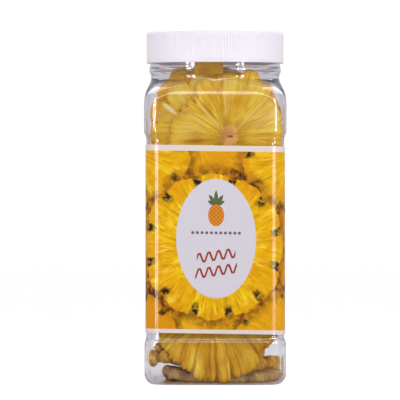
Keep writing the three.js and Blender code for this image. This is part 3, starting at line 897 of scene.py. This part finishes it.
upper_places = [
    dict(
        x=UPPER_SIDEWAYS.get(i, spread(i, 11, 3)), y=ROW_FRONT + i * ROW_PITCH, z=z, relief=0.4, mottle=0.6,
        r=36.4 + 1.6 * chance(i, 12), lean=6.6 * (1 - 2 * i / (ROW_COUNT - 1)), pivot=TOP_PIVOT,
    )
    for i, z in enumerate(UPPER_HEIGHTS)
]
upper_places[FRONT_UPPER].update(relief=0.16, mottle=0.25, spots=FRONT_SPOTS)
upper_places[RISEN].update(mottle=0)
upper_places[1].update(spots=SLIT_SPOTS)
lower_places = [
    dict(
        x=-1.3, y=-35.2, z=41.8, r=37, lean=0.5, pivot=41.8, relief=1.85, bend=0.6, ridges=0.45,
        mottle=0.35, spots=LOWER_SPOTS,
    ),
    dict(x=2.2, y=LOWER_ROW_FRONT, z=50, r=41.5, lean=0.5, pivot=50),
]
lower_places += [
    dict(
        x=spread(i, 13, 4.5), y=LOWER_ROW_FRONT + i * ROW_PITCH, z=55 + 4 * chance(i, 14),
        r=37.4 + 1.6 * chance(i, 15), lean=spread(i, 16, 3), pivot=56,
    )
    for i in range(1, ROW_COUNT - 2)
]
lying_places = [
    dict(x=0.4, y=6.5, z=13.9, r=40, tilt=4.2, thick=(3.4, 8.0), relief=1.6, ridges=0.45),
    dict(x=1.6, y=2.0, z=8.2, r=37, tilt=0.2, bowl=-4.2, thick=(3, 7.5), relief=1.0, ridges=0.5),
]
print(len(upper_places), "upper,", len(lower_places), "lower and", len(lying_places), "lying slices")


# %% Standing, lying and pressed against the wall
def stand_up(points, place):
    """Turns a slice's front to the front of the jar, leans it about a level line and moves it."""
    lean = math.radians(place["lean"])
    x, up, forward = points[:, 0] + place["x"], points[:, 1] + place["z"] - place["pivot"], -points[:, 2]
    y = forward * math.cos(lean) + up * math.sin(lean) + place["y"]
    z = -forward * math.sin(lean) + up * math.cos(lean) + place["pivot"]
    return np.stack([x, y, z], axis=-1)


def lay_down(points, place):
    """Leaves a slice flat with its front upwards, tilts its right side down and moves it."""
    tilt = math.radians(place["tilt"])
    x, y, out = points.T
    turned = [x * math.cos(tilt) + out * math.sin(tilt), y, out * math.cos(tilt) - x * math.sin(tilt)]
    return np.stack(turned, axis=-1) + [place["x"], place["y"], place["z"]]


WALL_GAP = 0.4
wall_path = inside_path[::-1]
wall_path = wall_path[np.argmin(wall_path[:, 1]):]


def press_inside(points):
    """Pulls each point that is past the wall straight in towards the jar's axis, to just inside the wall, and
    lifts it off the base."""
    x, y, z = points.T
    flat = np.hypot(x, y)
    direction = np.arctan2(y, x)
    half = np.interp(z, wall_path[:, 1], wall_path[:, 0]) - WALL_GAP
    corner = np.maximum(corner_radius(half + WALL_GAP + WALL, z) - WALL - WALL_GAP, 1)
    limit = square_reach(direction, half, np.minimum(corner, half))
    pull = np.minimum(1, limit / np.maximum(flat, 1e-6))
    dome = [20, DOME_R, DOME_FOOT_R], [BASE_TOP, BASE_TOP - DOME_FALL, FLOOR_TOP]
    base = np.interp(flat * pull, *dome) + WALL_GAP / 2
    return np.stack([x * pull, y * pull, np.maximum(z, base)], axis=-1)


# %% Pieces of one slice or of many
def dress_slices(piece, forms):
    """Gives a piece the map and the tints of the forms that it is made of."""
    set_map(piece, "rays", np.concatenate([form[1] for form in forms])[corner_points(piece)])
    tints = piece.data.attributes.new("tints", "FLOAT_VECTOR", "POINT")
    tints.data.foreach_set("vector", np.concatenate([form[2] for form in forms]).astype(np.float32).ravel())


def add_slices(name, places, numbers, columns, rows, settle=stand_up):
    """Joins the slices of some places into one piece, with their map and their tints."""
    forms = [slice_form(n, place, columns, rows) for n, place in zip(numbers, places)]
    points = [press_inside(settle(form[0], place)) for form, place in zip(forms, places)]
    starts = np.cumsum([0] + [len(own) for own in points])
    faces = []
    for start, (_, _, _, rings) in zip(starts, forms):
        faces += [grid_faces(rings, columns) + start, end_fans(rings, columns) + start]
    piece = add_piece(name, np.concatenate(points), faces, "slices")
    dress_slices(piece, forms)
    return piece


# How finely a slice is made: points round it, and rings.
fine, middling, coarse, lying = (720, 56), (480, 40), (200, 16), (300, 20)
upper_numbers, lower_numbers = range(ROW_COUNT), range(FRONT_LOWER, FRONT_LOWER + len(lower_places))
upper_front = add_slices("upper_front_slice", upper_places[:1], upper_numbers[:1], *fine)
others = [i for i in upper_numbers if i not in (FRONT_UPPER, RISEN)]
upper_rest = add_slices("upper_slices", [upper_places[i] for i in others], others, *coarse)
risen = add_slices("risen_slice", [upper_places[RISEN]], [RISEN], *middling)
lower_front = add_slices("lower_front_slice", lower_places[:1], lower_numbers[:1], *fine)
lower_rest = add_slices("lower_slices", lower_places[1:], lower_numbers[1:], *coarse)
lying_upper = add_slices("lying_slice", lying_places[:1], [LYING], *lying, settle=lay_down)
lying_lower = add_slices("bottom_slice", lying_places[1:], [BOTTOM], *lying, settle=lay_down)

# %% The rolled-up tongues at the left of the lying slice
# Each row: its middle, and half its width, depth and height.
KNOBS = (
    (-35.1, -25.0, 22.6, 3.3, 4.0, 3.0),
    (-38.7, -29.0, 16.4, 3.3, 4.4, 4.9),
    (-30.9, -30.5, 17.4, 4.2, 3.6, 3.9),
)
KNOB_RINGS, KNOB_COLUMNS = 24, 48


def knob_form(n, row):
    """An egg of rings with a few waves: the radius is 1 plus ripples of the direction. Its map is that of a
    rim, because a rolled-up tongue shows its rim all round."""
    steep = np.linspace(-np.pi / 2, np.pi / 2, KNOB_RINGS + 2)[1:-1, None]
    around = 2 * np.pi * np.arange(KNOB_COLUMNS)[None, :] / KNOB_COLUMNS
    size = 1 + 0.08 * ripples(around + steep, 50 + n, 1, (2, 3, 5))
    size = size + 0.07 * ripples(around - steep, 50 + n, 9, (7, 9, 11))
    x, y = size * np.cos(steep) * np.cos(around), size * np.cos(steep) * np.sin(around)
    rings = np.stack([x, y, size * np.sin(steep)], axis=-1)
    points = np.concatenate([rings.reshape(-1, 3), [[0, 0, -1], [0, 0, 1]]])
    share = 0.72 + 0.33 * np.hypot(points[:, 0], points[:, 2])
    swirl = 3 * points[:, 0] + n
    flat_map = np.stack([share * np.cos(swirl), share * np.sin(swirl)], axis=-1)
    tints = np.stack([chance(n, 70) + 0 * share, 0 * share, 0.08 + 0.1 * points[:, 0]], axis=-1)
    return points * row[3:] + row[:3], flat_map, tints


knob_forms = [knob_form(n, np.array(row)) for n, row in enumerate(KNOBS)]
knob_size = len(knob_forms[0][0])
one_knob = grid_faces(KNOB_RINGS, KNOB_COLUMNS), end_fans(KNOB_RINGS, KNOB_COLUMNS)
knob_faces = [faces + n * knob_size for n in range(len(KNOBS)) for faces in one_knob]
knob_points = press_inside(np.concatenate([form[0] for form in knob_forms]))
knobs = add_piece("rolled_tongues", knob_points, knob_faces, "slices")
dress_slices(knobs, knob_forms)

# %% [markdown]
# ### The colour of dried pineapple
# The map holds the share of the way out times the direction, so the shader finds both again: the length
# of the map is the share, and the map divided by its length is the direction. A cloud read in the
# direction, and only slowly along the share, is stretched into rays, which are the fibres.


# %% The finish of the slices
PALE_GOLD, BROWN = (0.81, 0.62, 0.21), ((0.25, 0.145, 0.07), (0.46, 0.285, 0.145))


def dried_patterns(finish):
    """What the colours are mixed by: the tints, the share and the direction, and clouds read along them.
    The slice's own tone also moves the clouds, so no two slices have the same fibres."""
    at = SimpleNamespace()
    rays = finish.node("UVMap", {"uv_map": "rays"})
    tints = finish.node("Attribute", {"attribute_name": "tints"}).output("Vector")
    tone, at.pale, at.dark = finish.split(tints)
    at.x, at.y, _ = finish.split(rays)
    at.share = finish.length(rays)
    c, at.upwards = finish.direction(rays)
    seed = tone * 40.0

    def rayed(around, outward):
        return finish.combine(c * around, at.upwards * around, at.share * outward + seed)

    at.fibres = finish.noise(rayed(15.0, 2.6), 1.0, 4.0, 0.6)
    at.strands = finish.noise(rayed(27.0, 5.0), 1.0, 2.0, 0.6)
    at.fruitlets = finish.noise(rayed(2.6, 2.2), 1.0, 1.0, 0.4)
    reach = at.share * 3.4
    at.blotches = finish.noise(finish.combine(c * reach, at.upwards * reach, seed), 1.0, 3.0, 0.55)
    at.creases = finish.step(finish.noise(rayed(17.0, 1.2), 1.0, 2.0, 0.5), 0.60, 0.74)
    at.light = finish.step(at.fibres * 0.45 + at.strands * 0.3 + at.blotches * 0.25, 0.36, 0.64)
    return at


def flesh_colour(finish, at, amber, pale_colour):
    """Gold that deepens by the fruitlet, with pale strands, white streaks and dark creases."""
    flesh = finish.mix(at.light, (0.61, 0.355, 0.012), (0.83, 0.58, 0.057))
    deep = finish.mix(at.light, (0.48, 0.21, 0.001), (0.70, 0.39, 0.003))
    near_core = finish.step(at.share, 0.42, 0.19) * finish.step(at.strands, 0.48, 0.60)
    return finish.coats(
        finish.mix(finish.step(at.fruitlets, 0.40, 0.66) * 0.7 + amber, flesh, deep),
        (finish.step(at.strands, 0.56, 0.74) * 0.4 + at.pale * 0.75, pale_colour),
        (finish.step(at.pale, 1.6, 3.0), (0.66, 0.62, 0.64)),
        (at.creases * 0.6, (0.38, 0.17, 0.006)),
        (near_core * 0.8, (0.24, 0.11, 0.006)),
    )


def rim_colour(finish, at, colour):
    """Deeper at the rim, brown where a tint says so, and nearly black in the eyes."""
    rim = finish.step(at.share + at.blotches * 0.10, 0.95, 1.05)
    browned = finish.step(at.dark + at.strands * 0.3, 0.20, 0.75)
    return finish.coats(
        colour,
        (rim * 0.5, (0.50, 0.21, 0.012)),
        (browned * 0.85, (0.34, 0.13, 0.008)),
        (finish.step(at.dark, 0.72, 0.92), (0.035, 0.014, 0.006)),
    )


def core_colour(finish, at, colour):
    """The pinkish core, with the oval crack that opens beside its middle."""
    core = finish.step(at.share + (at.fibres - 0.5) * 0.10, 0.184, 0.144)
    pink = finish.mix(finish.step(at.blotches, 0.35, 0.6), (0.57, 0.27, 0.075), (0.80, 0.44, 0.15))
    crack = ((at.x - 0.03) * 15.0) ** 2 + (at.y * 38.0) ** 2
    opened = finish.step(crack + at.strands * 2.0, 2.2, 1.2)
    return finish.coats(colour, (core, pink), (opened * 0.85, (0.13, 0.055, 0.02)))


def finish_dried(
    pieces, name, amber=0.0, brown=0.0, pale_colour=PALE_GOLD, brown_colours=BROWN, brown_top=False,
    wrinkles=0.0
):
    """Gold with rays. Amber deepens the flesh, and brown is how far the slice has dried to its brown: all of
    it, or only the tongue at its top. Wrinkles are dents, with painted shade in them and painted highlights
    on the rises, for a piece that shows no fibres."""
    finish = Finish(name)
    at = dried_patterns(finish)
    colour = rim_colour(finish, at, flesh_colour(finish, at, amber, pale_colour))
    colour = core_colour(finish, at, colour)
    if brown:
        share_of_brown = finish.step(at.upwards, 0.93, 0.96) * brown if brown_top else brown
        colour = finish.mix(share_of_brown, colour, finish.mix(at.light, *brown_colours))
    height = at.fibres * 0.6 + at.strands * 0.35 + at.blotches * 0.2 - at.creases * 0.5
    if wrinkles:
        painted_light_amount = 0.2 * wrinkles
        dents = finish.noise(finish.object_place(), 330.0, 3.0, 0.6)
        # Painted shade where the dents sink, and painted highlights where they rise.
        painted_shade_in_dents = finish.step(dents, 0.52, 0.38) * painted_light_amount, (0.36, 0.18, 0.03)
        painted_highlight_on_rises = finish.step(dents, 0.52, 0.64) * painted_light_amount, (0.84, 0.58, 0.15)
        colour = finish.coats(colour, painted_shade_in_dents, painted_highlight_on_rises)
        height = height + dents * wrinkles
    bump = finish.node("Bump", {}, Strength=0.9, Distance=0.0005, Height=height)
    roughness = at.strands * 0.25 + 0.40
    shader = finish.plastic(colour, roughness, IOR=1.45, Specular_IOR_Level=0.025, Normal=bump)
    finish.surface(shader, pieces[0])
    for piece in pieces[1:]:
        piece.data.materials.append(finish.material)


finish_dried([upper_front, upper_rest], "golden_slice")
# The second pair colours the risen slice's top tongue: partly its own dried colour, and partly painted light,
# brighter than the flesh to make up for the shade under the cap.
honey, orange_and_painted_light = (0.80, 0.55, 0.02), ((0.70, 0.32, 0.02), (1.0, 0.60, 0.07))
gold_brown = (0.50, 0.25, 0.06), (0.84, 0.50, 0.15)
finish_dried([lower_front], "front_amber_slice", amber=0.66, pale_colour=(0.90, 0.68, 0.08))
finish_dried([lower_rest], "amber_slice", amber=0.8, pale_colour=honey)
# The top tongue's colours hold painted light against the cap's shade.
finish_dried([risen], "orange_slice", 0.3, 0.85, pale_colour=honey, brown_colours=orange_and_painted_light, brown_top=True)
for piece, name, brown in ((knobs, "rolled_tongue", 0.3), (lying_upper, "browned_slice", 0.15)):
    finish_dried([piece], name, 0.4, brown, pale_colour=honey, brown_colours=gold_brown, wrinkles=2.5)
finish_dried([lying_lower], "brown_slice", amber=0.5, brown=0.8, pale_colour=honey, wrinkles=0.7)

# %% [markdown]
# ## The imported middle
# Behind the label nobody can see single slices, only that the jar is full. A plain mass joins the layers.

# %% The mass behind the label
# Each row: half its width, half its depth, height.
CORE_ROWS = np.array([
    (16, 26, 13), (24, 32, 30), (27, 36, 50), (27, 36, 124), (24, 31, 148), (13, 20, 168),
], dtype=float)
CORE_RINGS, CORE_COLUMNS = 60, 96


def rounded_square(turn):
    """A cosine and a sine whose size is raised to a power below 1, so that a circle becomes squarer."""
    wave = np.stack([np.cos(turn), np.sin(turn)])
    return np.sign(wave) * np.abs(wave) ** 0.6


heights = np.linspace(CORE_ROWS[0, 2], CORE_ROWS[-1, 2], CORE_RINGS)[:, None]
across = np.interp(heights, CORE_ROWS[:, 2], CORE_ROWS[:, 0])
deep = np.interp(heights, CORE_ROWS[:, 2], CORE_ROWS[:, 1])
turn = 2 * np.pi * np.arange(CORE_COLUMNS)[None, :] / CORE_COLUMNS
bent_x, bent_y = rounded_square(turn)
rough = 0.97 + 0.02 * np.cos(9 * turn + heights / 3) + 0.01 * np.cos(23 * turn - heights)
core_rings = np.stack([across * bent_x * rough, deep * bent_y * rough, heights + 0 * turn], axis=-1)
core_ends = [[0, 0, CORE_ROWS[0, 2]], [0, 0, CORE_ROWS[-1, 2]]]
core_points = np.concatenate([core_rings.reshape(-1, 3), core_ends])
core_faces = [grid_faces(CORE_RINGS, CORE_COLUMNS), end_fans(CORE_RINGS, CORE_COLUMNS)]
packed_middle = add_piece("packed_middle", core_points, core_faces, "slices")


def finish_packed(piece):
    finish = Finish("packed_fruit")
    cloud = finish.noise(finish.object_place(), 120.0, 4.0, 0.6)
    colour = finish.mix(cloud, (0.25, 0.11, 0.01), (0.62, 0.36, 0.04))
    finish.surface(finish.plastic(colour, 0.6 + 0.1 * cloud), piece)


finish_packed(packed_middle)

# %% [markdown]
# ## The label
# The label is a thin sleeve that follows the panel. It is printed with a picture of cut pineapple between
# two white edges, and a white oval stands in the middle of its front. The map gives the distance round the
# jar from the middle of the front, and the height, both in millimetres, so a printed shape keeps its form
# round the corners.

# %% The sleeve
LABEL_INSIDE, LABEL_OUTSIDE = PANEL_HALF + 0.3, PANEL_HALF + 0.6
LABEL_SLOPE = -0.0145  # the label was put on slightly out of level, so its right side is lower
LABEL_DROP = -LABEL_SLOPE * LABEL_OUTSIDE
LABEL_LOW, LABEL_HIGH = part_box("label")[0][2] / MM + LABEL_DROP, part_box("label")[1][2] / MM - LABEL_DROP
EASE = 0.08  # the rounding of its edges
# Rings close to both edges keep the smooth shading level right up to them.
outer_heights = [LABEL_LOW + EASE, *np.linspace(LABEL_LOW + 0.3, LABEL_HIGH - 0.3, 12), LABEL_HIGH - EASE]
label_path = np.array([
    *[(LABEL_OUTSIDE, z) for z in outer_heights],
    (LABEL_OUTSIDE - EASE, LABEL_HIGH), (LABEL_INSIDE + EASE, LABEL_HIGH),
    (LABEL_INSIDE, LABEL_HIGH - EASE), (LABEL_INSIDE, LABEL_LOW + EASE),
    (LABEL_INSIDE + EASE, LABEL_LOW), (LABEL_OUTSIDE - EASE, LABEL_LOW),
])
half, height = label_path[:, :1], label_path[:, 1:]
direction = crowded_directions()[None, :]
reach = square_reach(direction, half, half - PANEL_HALF + CORNER_R)
label_rings = place_round(reach, direction, height)
label_rings[..., 2] += LABEL_SLOPE * label_rings[..., 0]
label_faces = grid_faces(len(label_path), COLUMNS, looped=True)
label = add_piece("wrap_label", label_rings.reshape(-1, 3), [label_faces], "label")

# %% The map of the sleeve
outer_ring = label_rings[0]
steps = np.linalg.norm(np.roll(outer_ring, -1, axis=0) - outer_ring, axis=1)
along = np.concatenate([[0], np.cumsum(steps)])
LABEL_ROUND = along[-1]
column = label_faces % COLUMNS
# The last square of a ring ends where the first begins, so its far corners take the whole length.
is_far_side = (np.arange(4)[None, :] % 3 > 0) & (column == 0)
round_place = along[np.where(is_far_side, COLUMNS, column)]
is_left = round_place.mean(axis=1, keepdims=True) > LABEL_ROUND / 2
round_place = np.where(is_left, round_place - LABEL_ROUND, round_place)
label_heights = label_path[label_faces // COLUMNS, 1]
set_map(label, "unrolled", np.stack([round_place, label_heights], axis=-1).reshape(-1, 2))
print("the label is", round(LABEL_ROUND), "mm round")

# %% Where the printed slices lie
# Each row: distance round the jar, height, radius, turn of the rim, ripeness. Later ones lie on top.
SEAM = LABEL_ROUND / 2
PRINTED = (
    (SEAM, 88, 36, 1.5, 0.4), (-SEAM, 88, 36, 1.5, 0.4), (-12, 153, 35, 0.4, 0.5), (59, 145, 43, 1.0, 0.2),
    (-60, 147, 45, 2.0, 0.1), (118, 66, 44, 0.9, 0.3), (-118, 128, 45, 2.6, 0.2), (-98, 44, 44, 1.5, 0.5),
    (SEAM, 136, 42, 0.2, 0.2), (-SEAM, 136, 42, 0.2, 0.2), (92, 26, 36, 2.4, 0.4), (-6, 10, 44, 0.2, 0.35),
    (-57, 25, 35, 0.7, 0.75), (46, 27, 34, 1.9, 0.5), (72, 86, 38, 0.5, 0.6), (-73, 90, 38, 2.9, 0.35),
    (SEAM, 40, 40, 1.2, 0.2), (-SEAM, 40, 40, 1.2, 0.2), (-1.5, 86.0, 46.0, 1.62, 0.05),
    (110, 138, 35, 1.1, 0.3),
)
PRINTED_TONGUES = 12
OVAL_MIDDLE, OVAL_HALF = (0.5, 91.0), (24.8, 37.0)
BORDER_HIGH, BORDER_LOW = 3.6, 2.6


# %% The print: cut pineapple
def top_slice(finish, unrolled):
    """Finds the printed slice that lies on top at each point: its own coordinates with the height of its
    tongue, its number, and how far it is out of the shadow of others. The number's whole part seeds the
    pattern, and its fraction is how ripe the slice is."""
    own_place, number, shade = finish.combine(0.0, 0.0, 0.0), 0.0, None
    ragged = (finish.noise(unrolled, 0.30, 3.0, 0.6) - 0.5) * 0.11
    for order, (u, v, radius, turn, ripeness) in enumerate(PRINTED):
        moved = finish.node("VectorMath", {"operation": "SUBTRACT"}, unrolled, (u, v, 0))
        scaled = finish.node("VectorMath", {"operation": "SCALE"}, moved, Scale=1 / radius)
        out = finish.length(scaled)
        x, y, _ = finish.split(scaled)
        tongue = abs((y.maths("ARCTAN2", x) * (PRINTED_TONGUES / 2) + turn * 3).maths("SINE"))
        rim = tongue**0.55 * 0.07 + 0.93 + ragged
        here = finish.step(rim - out, 0.0, 0.018)
        shadow = finish.step(out - rim, 0.20, 0.0) * 0.75
        own_place = finish.mix_vectors(here, own_place, finish.combine(x, y, tongue))
        number = number + (order * 5 + ripeness - number) * here if order else here * ripeness
        shade = shade * (1 - shadow) * (1 - here) + here if order else here
    return own_place, number, shade


def print_slices(finish, unrolled):
    """The picture on the label as a colour: slices laid over each other, each coloured once."""
    own_place, number, shade = top_slice(finish, unrolled)
    x, y, tongue = finish.split(own_place)
    flat = finish.combine(x, y, 0.0)
    out = finish.length(flat)
    c, s = finish.direction(flat)
    dabs = finish.noise(unrolled, 0.22, 4.0, 0.62)
    wide = finish.noise(unrolled, 0.045, 2.0, 0.5)
    rays = finish.noise(finish.combine(c * 7.0, s * 7.0, out * 3.4 + number), 1.0, 3.0, 0.62)
    fine = finish.noise(finish.combine(c * 22.0, s * 22.0, out * 5.0 + number), 1.0, 2.0, 0.6)

    light = finish.step(rays * 0.4 + dabs * 0.35 + fine * 0.25, 0.38, 0.62)
    ripeness = number.maths("FRACT") * 1.3
    rim_tone = finish.step(out, 0.80, 0.98) * finish.step(dabs, 0.46, 0.60)
    notch = finish.step(tongue + dabs * 0.5, 0.72, 0.46) * finish.step(out + dabs * 0.2, 0.88, 0.98)
    eye = notch * finish.step(finish.noise(unrolled, 0.30, 2.0, 0.5), 0.40, 0.50)
    colour = finish.coats(
        finish.mix(light, (0.63, 0.31, 0.001), (0.88, 0.565, 0.004)),
        (finish.step(wide, 0.44, 0.62) * 0.75, (0.74, 0.34, 0.001)),
        (finish.step(rays + fine * 0.5, 0.80, 0.98) * 0.7, (0.90, 0.66, 0.06)),
        (finish.step(fine, 0.46, 0.34) * 0.6, (0.50, 0.23, 0.002)),
        (ripeness * finish.step(out * 0.4 + dabs, 0.44, 0.72), (0.66, 0.265, 0.002)),
        (rim_tone * 0.6, (0.58, 0.22, 0.006)),
        (finish.step(notch, 0.05, 0.5) * 0.6, (0.20, 0.17, 0.012)),
        (eye, (0.035, 0.012, 0.006)),
    )
    gap = finish.mix(finish.step(dabs, 0.40, 0.66), (0.09, 0.028, 0.006), (0.55, 0.20, 0.008))
    return finish.mix(shade, gap, colour)


# %% The oval's ornament: a small pineapple, a row of dots and two waves
FRUIT_MIDDLE, FRUIT_HALF, LEAF_FOOT = 105.5, (5.0, 6.8), 6.2
LEAVES = ((-62, 6.0), (62, 6.0), (-34, 8.0), (34, 8.0), (0, 9.5))  # lean in degrees, length
DOTS_HEIGHT, DOTS_APART, DOTS_REACH = 94.6, 2.9, 15.7
WAVES = ((80.5, 12.0), (71.0, 13.0))  # height, and reach to both sides
FRUIT_INK, NET_INK, LEAF_INK = (0.68, 0.25, 0.02), (0.28, 0.07, 0.01), (0.10, 0.13, 0.045)
DOT_INK, WAVE_INK = (0.13, 0.12, 0.13), (0.32, 0.035, 0.018)


def print_fruit(finish, colour, x, y):
    """Five leaves, each as wide as a parabola of the way along it, and an oval body with a net of lines where
    one of two crossing waves is near zero."""
    for lean, length in LEAVES:
        cosine, sine = math.cos(math.radians(lean)), math.sin(math.radians(lean))
        along = ((y - LEAF_FOOT) * cosine + x * sine) / length
        sideways = abs(x * cosine - (y - LEAF_FOOT) * sine)
        leaf = finish.step(along * (1 - along) * 5.0 - sideways, -0.1, 0.15)
        colour = finish.mix(leaf, colour, LEAF_INK)
    body = finish.step((x / FRUIT_HALF[0]) ** 2 + (y / FRUIT_HALF[1]) ** 2, 1.04, 0.94)
    one_way, other_way = ((crossing * 1.25).maths("SINE") for crossing in (x + y, x - y))
    net = finish.step(abs(one_way).maths("MINIMUM", abs(other_way)), 0.30, 0.14)
    return finish.mix(body, colour, finish.mix(net, FRUIT_INK, NET_INK))


def print_dots(finish, colour, x, up):
    """A row of discs: the distance from the nearest of many evenly spaced middles. The added 50 keeps the
    fraction of a negative place positive."""
    spaced = (x / DOTS_APART + 50.5).maths("FRACT") - 0.5
    level = (up - DOTS_HEIGHT) / DOTS_APART
    within = finish.step(abs(x), DOTS_REACH + 0.1, DOTS_REACH - 0.1)
    return finish.mix(finish.step(spaced**2 + level**2, 0.125, 0.090) * within, colour, DOT_INK)


def print_waves(finish, colour, x, up):
    """Two rising waves, each a line that is thick where it is steep."""
    for height, reach in WAVES:
        wave = (x * 1.05).maths("SINE") * 2.5 + x * 0.16 + height
        thickness = abs((x * 1.05).maths("COSINE")) * 1.3 + 0.45
        line = finish.step(abs(up - wave) - thickness, 0.15, -0.15)
        ends = finish.step(abs(x), reach + 0.3, reach - 0.3)
        colour = finish.mix(line * ends, colour, WAVE_INK)
    return colour


# %% The finish of the label
def finish_label(piece):
    """The picture, the oval with its ornament over it, the white edges, and plain paper on the inside."""
    finish = Finish("label_print")
    unrolled = finish.node("UVMap", {"uv_map": "unrolled"})
    across, up, _ = finish.split(unrolled)
    x = across - OVAL_MIDDLE[0]
    ornament = print_fruit(finish, (0.61, 0.585, 0.64), x, up - FRUIT_MIDDLE)
    ornament = print_waves(finish, print_dots(finish, ornament, x, up), x, up)
    oval = finish.step((x / OVAL_HALF[0]) ** 2 + ((up - OVAL_MIDDLE[1]) / OVAL_HALF[1]) ** 2, 1.015, 0.985)
    border = finish.step(up, LABEL_HIGH - BORDER_HIGH - 0.2, LABEL_HIGH - BORDER_HIGH + 0.2)
    border = border + finish.step(up, LABEL_LOW + BORDER_LOW + 0.2, LABEL_LOW + BORDER_LOW - 0.2)
    inside = finish.node("NewGeometry").output("Backfacing")
    colour = finish.coats(
        print_slices(finish, unrolled),
        (oval, ornament),
        (border, (0.705, 0.615, 0.565)),
        (inside, (0.80, 0.78, 0.78)),
    )
    roughness = finish.noise(unrolled, 0.12, 2.0, 0.5) * 0.08 + 0.12
    finish.surface(finish.plastic(colour, roughness, IOR=1.5, Specular_IOR_Level=0.12), piece)


finish_label(label)

# %% The size of the dressed jar beside the size of the solids
boxes = {"cad": cad_bounds, "visual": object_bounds()}
for name, box in boxes.items():
    print(name, [[round(v / MM, 1) for v in corner] for corner in box])
